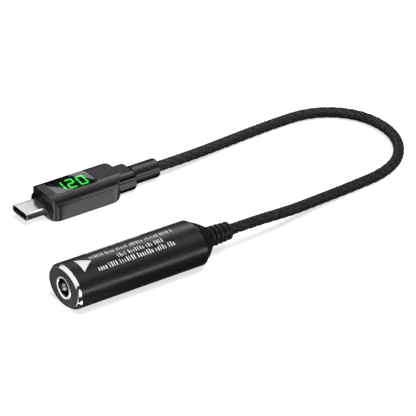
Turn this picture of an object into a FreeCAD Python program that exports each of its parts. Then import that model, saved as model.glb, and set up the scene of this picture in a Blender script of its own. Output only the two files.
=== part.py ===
import FreeCAD, Part
import math
import os
import re

import Sketcher
from FreeCAD import Rotation, Vector

# A DC jack to USB-C power lead with a power meter in its USB-C plug.
# Millimetres. +Z up. The lead lies on its resting surface, z = 0.
# The plug and the socket point along -X and lie side by side; one cable joins them in a flat loop.
# The origin is the middle of the footprint of the plug and the socket, on that surface.

SIZES = {
    # where the two ends lie
    "plug_tip_x": -16.6,
    "plug_axis_y": 25.2,
    "plug_axis_z": 3.2,
    "lead_axis_z": 3.4,
    "socket_face_x": -32.2,
    "socket_axis_y": -23.4,
    # gap between pieces that are assembled without force
    "slip": 0.04,
    # USB-C plug
    "usb_width": 8.25,
    "usb_height": 2.4,
    "usb_wall": 0.25,
    "usb_flat": 0.1,
    "usb_exposed": 7.0,
    "usb_buried": 3.2,
    "insulator_recess": 0.35,
    "mouth_depth": 6.3,
    "mouth_width": 6.6,
    "mouth_height": 1.2,
    "latch_mouth_width": 7.3,
    "latch_mouth_height": 0.8,
    "contact_pitch": 0.5,
    "contact_width": 0.25,
    "contact_thick": 0.12,
    "contact_gap": 0.54,
    "contact_start": 1.4,
    "contact_root_gap": 0.06,
    "tail_length": 5.6,
    "latch_thick": 0.15,
    "latch_height": 0.6,
    "latch_span": 6.5,
    "latch_start": 1.6,
    "midplate_width": 5.4,
    "midplate_thick": 0.15,
    "midplate_length": 3.9,
    # collar round the plug's metal shell
    "collar_width": 9.2,
    "collar_height": 3.4,
    "collar_proud": 0.8,
    "collar_buried": 0.9,
    "collar_ring": 0.27,
    "collar_step": 0.5,
    # meter housing
    "housing_length": 25.9,
    "housing_width": 13.4,
    "housing_height": 8.1,
    "housing_wall": 1.0,
    "housing_floor": 0.8,
    "housing_corner": 2.8,
    "housing_rear_corner": 5.0,
    "foot_round": 0.6,
    "cover_height": 3.1,
    "cover_skin": 1.0,
    "crown_radius": 3.9,
    "crown_spread": 0.1,
    "window_centre": 10.4,
    "window_length": 14.6,
    "window_width": 8.4,
    "window_thick": 0.8,
    "window_corner": 1.5,
    "window_set": 0.12,
    # display
    "display_length": 13.4,
    "display_width": 6.8,
    "display_height": 1.8,
    "display_gap": 0.15,
    "segment_thick": 0.08,
    "segment_width": 0.46,
    "digit_height": 5.2,
    "digit_width": 2.7,
    "digit_pitch": 3.9,
    "display_pin_radius": 0.22,
    "display_pin_pitch": 2.54,
    "display_pin_row": 2.8,
    # plug circuit board
    "board_start": 10.6,
    "board_gap": 1.9,
    "board_width": 10.6,
    "board_thick": 0.5,
    "chip_height": 0.8,
    "pd_controller_start": 2.6,
    "pd_controller_side": 3.4,
    "meter_controller_start": 8.4,
    "meter_controller_side": 3.0,
    "shunt_start": 9.0,
    "shunt_length": 3.2,
    "shunt_width": 2.5,
    "shunt_height": 0.6,
    "plug_capacitor_start": 3.0,
    "plug_capacitor_pitch": 2.6,
    "plug_capacitor_row": 3.9,
    "plug_capacitor_length": 1.6,
    "plug_capacitor_width": 0.8,
    # neck and sleeve behind the housing
    "neck_root": 1.6,
    "neck_length": 5.4,
    "neck_width": 9.6,
    "neck_height": 6.6,
    "neck_corner": 2.7,
    "spigot_width": 6.0,
    "spigot_height": 4.2,
    "flange_lip": 0.7,
    "flange_length": 1.1,
    "sleeve_length": 9.7,
    "sleeve_radius": 3.05,
    "sleeve_neck_length": 0.4,
    "sleeve_neck_inset": 0.25,
    "sleeve_end_taper": 0.4,
    # cable and its ends
    "cable_radius": 1.75,
    "crimp_wall": 0.5,
    "crimp_length": 1.8,
    "tail_inside": 3.2,
    "wire_radius": 0.42,
    "wire_pitch": 0.95,
    "wire_overlap": 0.9,
    # socket shell
    "socket_width": 17.0,
    "socket_height": 13.0,
    "socket_length": 44.6,
    "socket_wall": 0.9,
    "chamfer_width": 0.8,
    "chamfer_depth": 1.1,
    "face_recess": 0.15,
    "face_thick": 1.8,
    # DC jack, 5.5 x 2.5 mm
    "ring_radius": 3.7,
    "jack_bore_radius": 2.8,
    "ring_length": 2.6,
    "ring_flange": 0.6,
    "ring_bevel": 0.3,
    "jack_body_start": 2.7,
    "jack_body_length": 12.0,
    "jack_body_width": 9.4,
    "jack_body_height": 8.2,
    "jack_cavity_radius": 3.2,
    "jack_cavity_depth": 9.2,
    "jack_pin_radius": 1.25,
    "jack_pin_recess": 2.8,
    "jack_pin_tip": 0.3,
    "jack_shank_radius": 0.7,
    "jack_shank_length": 5.6,
    "spring_thick": 0.25,
    "spring_width": 1.9,
    "spring_length": 7.1,
    "spring_offset": 2.6,
    "spring_channel": 4.1,
    "spring_side_room": 0.3,
    "spring_root_gap": 0.2,
    "terminal_length": 5.6,
    # converter board in the socket
    "converter_start": 16.2,
    "converter_gap": 1.0,
    "converter_width": 12.4,
    "converter_thick": 1.0,
    "converter_drop": 2.0,
    "inductor_side": 6.4,
    "inductor_height": 3.4,
    "inductor_corner": 1.0,
    "bulk_radius": 2.0,
    "bulk_height": 3.8,
    "inductor_start": 3.4,
    "bulk_start": 12.8,
    "bulk_row": 2.6,
    "switch_start": 15.6,
    "switch_row": 2.5,
    "switch_side": 3.3,
    "switch_height": 0.9,
    "controller_start": 9.5,
    "controller_side": 4.0,
    "ceramic_start": 5.0,
    "ceramic_pitch": 10.5,
    "ceramic_row": 3.0,
    "ceramic_length": 2.0,
    "ceramic_width": 1.25,
    "cradle_rib": 1.4,
    "cradle_rail_width": 3.0,
    "cradle_rail_height": 1.0,
    "cradle_rail_drop": 1.6,
    "cradle_inset": 0.8,
    "power_wire_radius": 0.55,
    "power_wire_overlap": 2.3,
    # rear cone and strain relief
    "cone_length": 5.3,
    "cone_step": 0.3,
    "cone_spigot": 3.0,
    "tail_clear": 1.4,
    "pocket_spare": 0.3,
    "pocket_room": 0.2,
    "cone_end_width": 6.5,
    "cone_end_height": 6.4,
    "relief_length": 7.4,
    "relief_core_radius": 2.4,
    "relief_rib_radius": 3.2,
    "relief_rib_drop": 0.1,
    "relief_rib_width": 0.95,
}

CONTACTS_PER_ROW = 12
DISPLAY_PINS_PER_ROW = 5
RELIEF_RIBS = 5
COLLAR_RINGS = 3
PLUG_CAPACITORS = 4
CERAMIC_CAPACITORS = 4
CUTTER_SPARE = "1"
FEED = "0.5"

# the seven bars of a digit: place across and up, in half digits, and whether the bar stands up
SEGMENT_PLACES = {
    "a": (0, 1, False),
    "b": (1, 0.5, True),
    "c": (1, -0.5, True),
    "d": (0, -1, False),
    "e": (-1, -0.5, True),
    "f": (-1, 0.5, True),
    "g": (0, 0, False),
}
LIT_SEGMENTS = ["bc", "abged", "abcdef"]
# the wires to the plug's board: place across, in pitches, and above it (1) or below it (-1)
PLUG_WIRES = [(-1, 1), (0, 1), (1, 1), (0, -1)]

# places along the plug
COLLAR_X = "(plug_tip_x + usb_exposed)"
FRONT_X = "(plug_tip_x + usb_exposed + collar_proud)"
REAR_X = f"({FRONT_X} + housing_length)"
NECK_END_X = f"({REAR_X} + neck_length)"
SLEEVE_END_X = f"({NECK_END_X} + sleeve_length)"
BOARD_X = "(plug_tip_x + board_start)"
BOARD_TOP = "(plug_axis_z + board_thick / 2)"
BOARD_BOTTOM = "(plug_axis_z - board_thick / 2)"
SPLIT_Z = "(housing_height - cover_height)"
WINDOW_X = f"({FRONT_X} + window_centre)"
WINDOW_Z = "(housing_height - window_set - window_thick)"
DISPLAY_TOP = f"({WINDOW_Z} - display_gap)"
INNER_REAR_X = f"({REAR_X} - housing_wall)"
PLUG_TAIL_X = f"({INNER_REAR_X} - tail_inside)"
BOARD_END_X = f"({PLUG_TAIL_X} - board_gap)"
CRIMP_RADIUS = "(cable_radius + slip + crimp_wall)"

# places along the socket
SOCKET_Z = "(socket_height / 2)"
JACK_X = "(socket_face_x + jack_body_start)"
JACK_FLOOR_X = f"({JACK_X} + jack_cavity_depth)"
PIN_X = "(socket_face_x + jack_pin_recess)"
CONVERTER_X = "(socket_face_x + converter_start)"
CONVERTER_Z = f"({SOCKET_Z} - converter_drop)"
CONVERTER_TOP = f"({CONVERTER_Z} + converter_thick)"
CONE_X = "(socket_face_x + socket_length)"
RELIEF_X = f"({CONE_X} + cone_length)"
RELIEF_END_X = f"({RELIEF_X} + relief_length)"
SOCKET_TAIL_X = f"({CONE_X} - cone_spigot - tail_clear)"
CONVERTER_END_X = f"({SOCKET_TAIL_X} - converter_gap)"
CONVERTER_LENGTH = f"({CONVERTER_END_X} - {CONVERTER_X})"
INNER_WIDTH = "(socket_width - 2 * socket_wall)"
INNER_HEIGHT = "(socket_height - 2 * socket_wall)"

# the free cable's route between its two ends, which come from the sizes above
CABLE_ROUTE = [
    (40.9, 25.2, 3.4),
    (53.0, 27.5, 2.2),
    (66.9, 29.2, 1.8),
    (80.4, 30.1, 1.8),
    (92.7, 29.9, 1.8),
    (101.9, 24.7, 1.8),
    (107.2, 15.6, 1.8),
    (107.3, 3.0, 1.8),
    (100.5, -8.8, 1.8),
    (89.6, -15.1, 1.8),
    (76.2, -16.3, 1.8),
    (62.6, -17.9, 2.4),
    (49.0, -21.3, 4.4),
    (36.0, -23.4, 6.5),
]
ARC_SHARE = 0.45

doc = FreeCAD.newDocument("usb_power_meter")
sheet = doc.addObject("Spreadsheet::Sheet", "sizes")
nodes = []


def fill_sheet():
    """One row per size: its name, and its value under the same alias."""
    for row, (name, value) in enumerate(SIZES.items(), start=1):
        sheet.set(f"A{row}", name)
        sheet.set(f"B{row}", str(value))
        sheet.setAlias(f"B{row}", name)
    doc.recompute()


def size(name):
    return float(getattr(sheet, name))


def bound(formula):
    """The formula with each size name read from the sheet."""

    def alias(word):
        return f"<<sizes>>.{word.group()}" if word.group() in SIZES else word.group()

    return re.sub(r"[a-z]\w*", alias, formula)


def bind(piece, **formulas):
    """Bind properties to formulas; a double underscore in a name stands for a dot."""
    for name, formula in formulas.items():
        piece.setExpression(name.replace("__", "."), bound(formula))


def keep(piece, name):
    """Name a finished sub-part and put it on the list that is written out."""
    piece.Label = name
    nodes.append(piece)
    return piece


def at(piece, x, y, z, turn=None):
    """Bind a primitive's place, after its fixed turn."""
    if turn:
        piece.Placement = FreeCAD.Placement(Vector(), turn)
    bind(piece, Placement__Base__x=x, Placement__Base__y=y, Placement__Base__z=z)


ALONG_X = Rotation(Vector(0, 1, 0), 90)
FACING_X = Rotation(Vector(1, 1, 1), 120)


def block(name, x, y, z, length, width, height):
    """A box from x and z, centred on y."""
    piece = doc.addObject("Part::Box", name)
    bind(piece, Length=length, Width=width, Height=height)
    at(piece, x, f"({y}) - ({width}) / 2", z)
    return piece


def rod(name, x, y, z, length, radius):
    """A cylinder along X from x."""
    piece = doc.addObject("Part::Cylinder", name)
    bind(piece, Radius=radius, Height=length)
    at(piece, x, y, z, ALONG_X)
    return piece


def post(name, x, y, z, height, radius):
    """A cylinder that stands along Z from z."""
    piece = doc.addObject("Part::Cylinder", name)
    bind(piece, Radius=radius, Height=height)
    at(piece, x, y, z)
    return piece


def taper(name, x, y, z, length, start_radius, end_radius):
    """A cone along X from x."""
    piece = doc.addObject("Part::Cone", name)
    bind(piece, Radius1=start_radius, Radius2=end_radius, Height=length)
    at(piece, x, y, z, ALONG_X)
    return piece


def oval(name, x, width, height):
    """An upright ellipse across X on the socket's axis."""
    piece = doc.addObject("Part::Ellipse", name)
    bind(piece, MajorRadius=f"({width}) / 2", MinorRadius=f"({height}) / 2")
    at(piece, x, "socket_axis_y", SOCKET_Z, FACING_X)
    return piece


def oval_bar(name, x, length, width, height):
    """An elliptical bar along the socket's axis from x."""
    piece = doc.addObject("Part::Extrusion", name)
    piece.Base = oval(f"{name}_section", x, width, height)
    piece.DirMode = "Custom"
    piece.Dir = Vector(1, 0, 0)
    piece.Solid = True
    bind(piece, LengthFwd=length)
    return piece


def oval_taper(name, x, length, start, end):
    """A tapered elliptical bar; start and end are (width, height)."""
    piece = doc.addObject("Part::Loft", name)
    first = oval(f"{name}_start", x, *start)
    last = oval(f"{name}_end", f"({x}) + ({length})", *end)
    piece.Sections = [first, last]
    piece.Solid = True
    piece.Ruled = True
    return piece


def cut(name, base, *tools):
    """The base less its tools."""
    piece = doc.addObject("Part::Cut", name)
    piece.Base = base
    piece.Tool = tools[0] if len(tools) == 1 else fuse(f"{name}_tools", *tools)
    return piece


def fuse(name, *pieces):
    piece = doc.addObject("Part::MultiFuse", name)
    piece.Shapes = list(pieces)
    return piece


def common(name, *pieces):
    """What all the pieces share."""
    piece = doc.addObject("Part::MultiCommon", name)
    piece.Shapes = list(pieces)
    return piece


def group(name, pieces):
    """Separate solids that share one node."""
    piece = doc.addObject("Part::Compound", name)
    piece.Links = list(pieces)
    return piece


def rectangle(body, role, name, across, up, along, width, height):
    """A centred rectangle on one of the body's origin planes, moved to its place."""
    sketch = body.newObject("Sketcher::SketchObject", f"{name}_sketch")
    plane = [feature for feature in body.Origin.OriginFeatures if feature.Role == role][0]
    sketch.AttachmentSupport = [(plane, "")]
    sketch.MapMode = "FlatFace"
    corners = [Vector(-5, -2, 0), Vector(5, -2, 0), Vector(5, 2, 0), Vector(-5, 2, 0)]
    for start, end in zip(corners, corners[1:] + corners[:1]):
        sketch.addGeometry(Part.LineSegment(start, end))
    for line in range(4):
        sketch.addConstraint(Sketcher.Constraint("Coincident", line, 2, (line + 1) % 4, 1))
        sketch.addConstraint(Sketcher.Constraint("Vertical" if line % 2 else "Horizontal", line))
    sketch.addConstraint(Sketcher.Constraint("Symmetric", 0, 1, 1, 2, -1, 1))
    wide = sketch.addConstraint(Sketcher.Constraint("DistanceX", 0, 1, 0, 2, 10))
    tall = sketch.addConstraint(Sketcher.Constraint("DistanceY", 1, 1, 1, 2, 4))
    sketch.renameConstraint(wide, "wide")
    sketch.renameConstraint(tall, "tall")
    bind(sketch, Constraints__wide=width, Constraints__tall=height)
    bind(sketch, AttachmentOffset__Base__x=across, AttachmentOffset__Base__y=up)
    bind(sketch, AttachmentOffset__Base__z=along)
    return sketch


def pad(body, name, sketch, length):
    feature = body.newObject("PartDesign::Pad", f"{name}_pad")
    feature.Profile = sketch
    bind(feature, Length=length)
    doc.recompute()
    return feature


def round_edges(body, name, base, radius, wanted):
    """Fillet the edges of the base for which wanted(edge) holds."""
    edges = [f"Edge{index}" for index, edge in enumerate(base.Shape.Edges, start=1) if wanted(edge)]
    feature = body.newObject("PartDesign::Fillet", f"{name}_fillet")
    feature.Base = (base, edges)
    bind(feature, Radius=radius)
    doc.recompute()
    return feature


def runs_along(axis):
    """A test for straight edges parallel to an axis."""
    return lambda edge: abs((edge.Vertexes[-1].Point - edge.Vertexes[0].Point).normalize().dot(axis)) > 0.999


def lies_at_height(height):
    """A test for edges that lie at one height."""
    return lambda edge: all(abs(vertex.Point.z - height) < 1e-4 for vertex in edge.Vertexes)


def bar(name, x, y, z, length, width, height, corner):
    """A bar along X from x, centred on y and z, with rounded long edges."""
    body = doc.addObject("PartDesign::Body", name)
    sketch = rectangle(body, "YZ_Plane", name, y, z, x, width, height)
    feature = pad(body, name, sketch, length)
    round_edges(body, name, feature, corner, runs_along(Vector(1, 0, 0)))
    return body


def slab(name, x, y, z, length, width, height, corner):
    """A plate that stands up from z, centred on x and y, with rounded upright edges."""
    body = doc.addObject("PartDesign::Body", name)
    sketch = rectangle(body, "XY_Plane", name, x, y, z, length, width)
    feature = pad(body, name, sketch, height)
    round_edges(body, name, feature, corner, runs_along(Vector(0, 0, 1)))
    return body


def usb_bar(name, x, length, inset):
    """A bar with the outline of the USB-C plug, inset all round."""
    height = f"(usb_height - 2 * ({inset}))"
    corner = f"{height} / 2 - usb_flat"
    return bar(name, x, "plug_axis_y", "plug_axis_z", length, f"usb_width - 2 * ({inset})", height, corner)


def make_usb_shell():
    length = "usb_exposed + usb_buried"
    outside = usb_bar("usb_shell_outside", "plug_tip_x", length, "0")
    bore_x = f"plug_tip_x - {CUTTER_SPARE}"
    inside = usb_bar("usb_shell_inside", bore_x, f"{length} + 2 * {CUTTER_SPARE}", "usb_wall")
    keep(cut("usb_shell", outside, inside), "usb_shell")


def contact_height(side):
    """The middle height of a contact row; side is 1 above and -1 below."""
    return f"(plug_axis_z + {side} * (contact_gap + contact_thick) / 2)"


def make_usb_insulator():
    """The plug's plastic core: a mouth for the mating tongue, and slots for what passes back."""
    length = "(usb_exposed + usb_buried - insulator_recess)"
    core = usb_bar("usb_insulator_core", "plug_tip_x + insulator_recess", length, "usb_wall + slip")
    tools = []
    for name, width, height in (
        ("contacts", "mouth_width", "mouth_height"),
        ("latches", "latch_mouth_width", "latch_mouth_height"),
    ):
        low = f"plug_axis_z - ({height}) / 2"
        tools.append(
            block(f"usb_mouth_{name}", "plug_tip_x", "plug_axis_y", low, "mouth_depth", width, height)
        )
    row_width = f"{CONTACTS_PER_ROW} * contact_pitch + 2 * slip"
    slots = [("upper", contact_height(1), "contact_thick", row_width)]
    slots += [("lower", contact_height(-1), "contact_thick", row_width)]
    slots += [("midplate", "plug_axis_z", "midplate_thick", "midplate_width + 2 * slip")]
    for name, middle, thick, width in slots:
        height = f"({thick} + 2 * slip)"
        low = f"{middle} - {height} / 2"
        start = "plug_tip_x + mouth_depth / 2"
        length = "usb_exposed + usb_buried"
        tools.append(block(f"usb_slot_{name}", start, "plug_axis_y", low, length, width, height))
    keep(cut("usb_insulator", core, *tools), "usb_insulator")


def contact_strips(name, side, x, length):
    """One row of separate contact strips."""
    strips = []
    for index in range(CONTACTS_PER_ROW):
        y = f"plug_axis_y + ({index} - {(CONTACTS_PER_ROW - 1) / 2}) * contact_pitch"
        low = f"{contact_height(side)} - contact_thick / 2"
        strips.append(block(f"{name}_{index}", x, y, low, length, "contact_width", "contact_thick"))
    return strips


def make_usb_contacts():
    """Two sprung rows in the mouth, and the fixed tails that carry them back onto the board."""
    spring_length = "mouth_depth - contact_root_gap - contact_start"
    tail_x = "plug_tip_x + mouth_depth + contact_root_gap"
    tails = []
    for name, side in (("upper", 1), ("lower", -1)):
        springs = contact_strips(f"spring_{name}", side, "plug_tip_x + contact_start", spring_length)
        keep(group(f"usb_contacts_{name}", springs), f"usb_contacts_{name}")
        tails += contact_strips(f"tail_{name}", side, tail_x, "tail_length")
    keep(group("usb_contact_tails", tails), "usb_contact_tails")


def make_usb_latches():
    """The two side springs that hold the plug in its socket."""
    length = "mouth_depth - contact_root_gap - latch_start"
    low = "plug_axis_z - latch_height / 2"
    for name, side in (("left", 1), ("right", -1)):
        y = f"plug_axis_y + {side} * (latch_span + latch_thick) / 2"
        x, thick, height = "plug_tip_x + latch_start", "latch_thick", "latch_height"
        latch = block(f"usb_latch_{name}", x, y, low, length, thick, height)
        keep(latch, f"usb_latch_{name}")


def make_usb_midplate():
    low = "plug_axis_z - midplate_thick / 2"
    x = "plug_tip_x + mouth_depth + contact_root_gap"
    size_x, size_y = "midplate_length", "midplate_width"
    keep(block("usb_midplate", x, "plug_axis_y", low, size_x, size_y, "midplate_thick"), "usb_midplate")


def make_plug_collar():
    """The stepped rings where the metal shell leaves the housing; each is wider than the one in front."""
    rings = []
    for index in range(COLLAR_RINGS):
        start = f"{index} * collar_ring"
        height = f"(collar_height + 2 * {index} * collar_step)"
        width = f"collar_width + 2 * {index} * collar_step"
        length = f"collar_proud - {start}"
        if index == 0:
            length = "collar_proud + collar_buried"
        x = f"{COLLAR_X} + {start}"
        corner = f"{height} / 2 - usb_flat"
        rings.append(
            bar(f"plug_collar_{index}", x, "plug_axis_y", "plug_axis_z", length, width, height, corner)
        )
    hole_length = f"collar_proud + collar_buried + 2 * {CUTTER_SPARE}"
    hole = usb_bar("plug_collar_hole", f"{COLLAR_X} - {CUTTER_SPARE}", hole_length, "-slip")
    keep(cut("plug_collar", fuse("plug_collar_rings", *rings), hole), "plug_collar")


def housing_middle():
    return f"({FRONT_X} + housing_length / 2)"


def housing_block(name, inset, z, height):
    """A plate with the housing's outline, inset all round; its rear corners are the rounder ones."""
    body = doc.addObject("PartDesign::Body", name)
    length = f"housing_length - 2 * ({inset})"
    width = f"housing_width - 2 * ({inset})"
    sketch = rectangle(body, "XY_Plane", name, housing_middle(), "plug_axis_y", z, length, width)
    feature = pad(body, name, sketch, height)
    upright = runs_along(Vector(0, 0, 1))
    middle = size("plug_tip_x") + size("usb_exposed") + size("collar_proud") + size("housing_length") / 2
    for end, radius, sign in (("front", "housing_corner", -1), ("rear", "housing_rear_corner", 1)):

        def wanted(edge):
            return upright(edge) and sign * (edge.Vertexes[0].Point.x - middle) > 0

        feature = round_edges(body, f"{name}_{end}", feature, f"{radius} - ({inset})", wanted)
    return body


def crown_bar(name, inset):
    """A bar whose rounded long edges give the cover its crown; inset for the space under it."""
    width = f"housing_width + 2 * crown_spread - 2 * ({inset})"
    depth = f"(2 * crown_radius + {CUTTER_SPARE})"
    middle = f"housing_height - ({inset}) - {depth} / 2"
    x = f"{FRONT_X} - {CUTTER_SPARE}"
    length = f"housing_length + 2 * {CUTTER_SPARE}"
    return bar(name, x, "plug_axis_y", middle, length, width, depth, f"crown_radius - ({inset})")


def housing_openings(name):
    """The cutters that both halves of the housing share: for the collar, the neck and the crimp."""
    collar_height = "(collar_height + 2 * slip)"
    corner = f"{collar_height} / 2 - usb_flat"
    length = f"housing_wall + 2 * {CUTTER_SPARE}"
    width = "collar_width + 2 * slip"
    x = f"{FRONT_X} - {CUTTER_SPARE}"
    front = bar(f"{name}_front_hole", x, "plug_axis_y", "plug_axis_z", length, width, collar_height, corner)
    rear_x = f"({REAR_X} - housing_rear_corner)"
    rear_length = f"housing_rear_corner + {CUTTER_SPARE}"
    rear = spigot_bar(f"{name}_rear_hole", rear_x, rear_length, "slip")
    crimp_length = f"{INNER_REAR_X} - {PLUG_TAIL_X}"
    radius = f"{CRIMP_RADIUS} + slip"
    room = rod(f"{name}_crimp_room", PLUG_TAIL_X, "plug_axis_y", "lead_axis_z", crimp_length, radius)
    return [front, rear, room]


def make_plug_housing():
    """The open lower case, with an opening in front for the collar and one behind for the neck."""
    name = "plug_housing_case"
    case = housing_block(name, "0", "0", SPLIT_Z)
    round_edges(case, f"{name}_foot", case.Tip, "foot_round", lies_at_height(0))
    depth = f"{SPLIT_Z} - housing_floor + {CUTTER_SPARE}"
    hollow = housing_block("plug_housing_hollow", "housing_wall", "housing_floor", depth)
    keep(cut("plug_housing", case, hollow, *housing_openings("plug_housing")), "plug_housing")


def make_plug_cover():
    """The crowned lid, with the window's opening."""
    prism = housing_block("plug_cover_prism", "0", SPLIT_Z, "cover_height")
    lid = common("plug_cover_lid", prism, crown_bar("plug_cover_crown", "0"))
    below = f"({SPLIT_Z} - {CUTTER_SPARE})"
    room = housing_block("plug_cover_room", "housing_wall", below, f"cover_height + {CUTTER_SPARE}")
    hollow = common("plug_cover_hollow", room, crown_bar("plug_cover_ceiling", "cover_skin"))
    length = "window_length + 2 * slip"
    width = "window_width + 2 * slip"
    corner = "window_corner + slip"
    height = f"cover_height + 2 * {CUTTER_SPARE}"
    opening = slab("plug_cover_opening", WINDOW_X, "plug_axis_y", below, length, width, height, corner)
    keep(cut("plug_cover", lid, hollow, opening, *housing_openings("plug_cover")), "plug_cover")


def make_display():
    """The window, the display under it on its pins, and the bars of its three digits."""
    length, width = "window_length", "window_width"
    thick, corner = "window_thick", "window_corner"
    window = slab("display_window", WINDOW_X, "plug_axis_y", WINDOW_Z, length, width, thick, corner)
    keep(window, "display_window")
    low = f"{DISPLAY_TOP} - display_height"
    x = f"{WINDOW_X} - display_length / 2"
    length, width, height = "display_length", "display_width", "display_height"
    keep(block("display_module", x, "plug_axis_y", low, length, width, height), "display_module")
    pins = []
    for index in range(DISPLAY_PINS_PER_ROW):
        for side in (-1, 1):
            x = f"{WINDOW_X} + ({index} - {(DISPLAY_PINS_PER_ROW - 1) / 2}) * display_pin_pitch"
            y = f"plug_axis_y + {side} * display_pin_row"
            height = f"{DISPLAY_TOP} - display_height - {BOARD_TOP}"
            name = f"display_pin_{index}_{side + 1}"
            pins.append(post(name, x, y, BOARD_TOP, height, "display_pin_radius"))
    keep(group("display_pins", pins), "display_pins")
    lit, dark = [], []
    for digit, pattern in enumerate(LIT_SEGMENTS):
        for letter in SEGMENT_PLACES:
            (lit if letter in pattern else dark).append(segment(digit, letter))
    keep(group("display_segments_lit", lit), "display_segments_lit")
    keep(group("display_segments_dark", dark), "display_segments_dark")


def segment(digit, letter):
    """One bar of a digit, on top of the display; digits read along X with their tops towards +Y."""
    across, up, upright = SEGMENT_PLACES[letter]
    x = f"{WINDOW_X} + ({digit} - 1) * digit_pitch + ({across}) * (digit_width - segment_width) / 2"
    y = f"plug_axis_y + ({up}) * (digit_height - segment_width) / 2"
    long = "((digit_height - segment_width) / 2 - segment_width - 2 * slip)"
    wide = "(digit_width - 2 * segment_width - 2 * slip)"
    length, width = ("segment_width", long) if upright else (wide, "segment_width")
    name = f"segment_{digit}_{letter}"
    return block(name, f"{x} - {length} / 2", y, DISPLAY_TOP, length, width, "segment_thick")


def make_plug_board():
    length = f"{BOARD_END_X} - {BOARD_X}"
    board = block("plug_board", BOARD_X, "plug_axis_y", BOARD_BOTTOM, length, "board_width", "board_thick")
    keep(board, "plug_board")


def on_board(name, start, y, length, width, height, below=False):
    """A component on the plug's board, above it or below it."""
    low = f"{BOARD_BOTTOM} - ({height})" if below else BOARD_TOP
    return block(name, f"{BOARD_X} + {start}", f"plug_axis_y + ({y})", low, length, width, height)


def make_plug_components():
    """The power-delivery controller, the meter's own controller, the current shunt and small capacitors."""
    for name in ("pd_controller", "meter_controller"):
        side = f"{name}_side"
        keep(on_board(name, f"{name}_start", "0", side, side, "chip_height"), name)
    place = ("shunt_start", "0", "shunt_length", "shunt_width", "shunt_height")
    keep(on_board("current_shunt", *place, below=True), "current_shunt")
    length, width = "plug_capacitor_length", "plug_capacitor_width"
    capacitors = []
    for index in range(PLUG_CAPACITORS):
        start = f"plug_capacitor_start + {index} * plug_capacitor_pitch"
        name = f"plug_capacitor_{index}"
        capacitors.append(on_board(name, start, "plug_capacitor_row", length, width, width, below=True))
    keep(group("plug_capacitors", capacitors), "plug_capacitors")


def spigot_bar(name, x, length, room):
    """A bar with the outline of the neck's spigot, with room all round."""
    height = f"(spigot_height + 2 * ({room}))"
    width = f"spigot_width + 2 * ({room})"
    return bar(name, x, "plug_axis_y", "lead_axis_z", length, width, height, f"{height} / 2 - usb_flat")


def cable_bore(name, x, length, y, z):
    """The hole for the cable, longer than its piece at both ends."""
    return rod(name, f"{x} - {CUTTER_SPARE}", y, z, f"{length} + 2 * {CUTTER_SPARE}", "cable_radius + slip")


def make_neck():
    """The oval neck, fitted to the housing's round rear end: a spigot through the wall, a flange inside."""
    root_x = f"({REAR_X} - neck_root)"
    length = "neck_root + neck_length"
    y, z = "plug_axis_y", "lead_axis_z"
    neck = bar("neck_bar", root_x, y, z, length, "neck_width", "neck_height", "neck_corner")
    cutter_height = f"housing_height + 2 * {CUTTER_SPARE}"
    housing = housing_block("neck_front_cutter", "0", f"-{CUTTER_SPARE}", cutter_height)
    outside = cut("neck_outside", neck, housing)
    flange_x = f"({INNER_REAR_X} - slip - flange_length)"
    through = spigot_bar("neck_spigot", flange_x, f"{REAR_X} + {FEED} - {flange_x}", "0")
    plate = spigot_bar("neck_flange_bar", flange_x, "flange_length", "flange_lip / 2")
    inside = housing_block("neck_flange_room", "housing_wall + slip", "0", "housing_height")
    flange = common("neck_flange", plate, inside)
    length = f"({NECK_END_X} - ({flange_x}))"
    bore = cable_bore("neck_bore", flange_x, length, y, z)
    keep(cut("neck", fuse("neck_solid", outside, through, flange), bore), "neck")


def make_neck_sleeve():
    """The round sleeve over the cable, with a shallow groove where it meets the neck."""
    y, z = "plug_axis_y", "lead_axis_z"
    groove_radius = "sleeve_radius - sleeve_neck_inset"
    groove = rod("sleeve_groove", NECK_END_X, y, z, "sleeve_neck_length + slip", groove_radius)
    barrel_x = f"{NECK_END_X} + sleeve_neck_length"
    barrel_length = "(sleeve_length - sleeve_neck_length - sleeve_end_taper)"
    barrel = rod("sleeve_barrel", barrel_x, y, z, barrel_length, "sleeve_radius")
    end_x = f"{barrel_x} + {barrel_length}"
    end_radius = "sleeve_radius - sleeve_end_taper"
    end = taper("sleeve_end", end_x, y, z, "sleeve_end_taper", "sleeve_radius", end_radius)
    bore = cable_bore("sleeve_bore", NECK_END_X, "sleeve_length", y, z)
    keep(cut("neck_sleeve", fuse("sleeve_solid", groove, barrel, end), bore), "neck_sleeve")


def make_plug_cable_end():
    """The cable's stretch inside the sleeve and neck, its crimp, and the wires that reach the board."""
    y, z = "plug_axis_y", "lead_axis_z"
    tail = rod("plug_cable_tail", PLUG_TAIL_X, y, z, f"{SLEEVE_END_X} - {PLUG_TAIL_X}", "cable_radius")
    keep(tail, "plug_cable_tail")
    keep(crimp("plug_crimp", f"({PLUG_TAIL_X} + slip)", y, z), "plug_crimp")
    x = f"({BOARD_END_X} - wire_overlap)"
    wires = []
    for index, (place, side) in enumerate(PLUG_WIRES):
        z = f"plug_axis_z + {side} * (board_thick / 2 + wire_radius + slip)"
        y = f"plug_axis_y + {place} * wire_pitch"
        wires.append(rod(f"plug_wire_{index}", x, y, z, f"{PLUG_TAIL_X} - {x}", "wire_radius"))
    keep(group("plug_wires", wires), "plug_wires")


def crimp(name, x, y, z):
    """A short metal ferrule round the cable."""
    outside = rod(f"{name}_outside", x, y, z, "crimp_length", CRIMP_RADIUS)
    return cut(name, outside, cable_bore(f"{name}_bore", x, "crimp_length", y, z))


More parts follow.
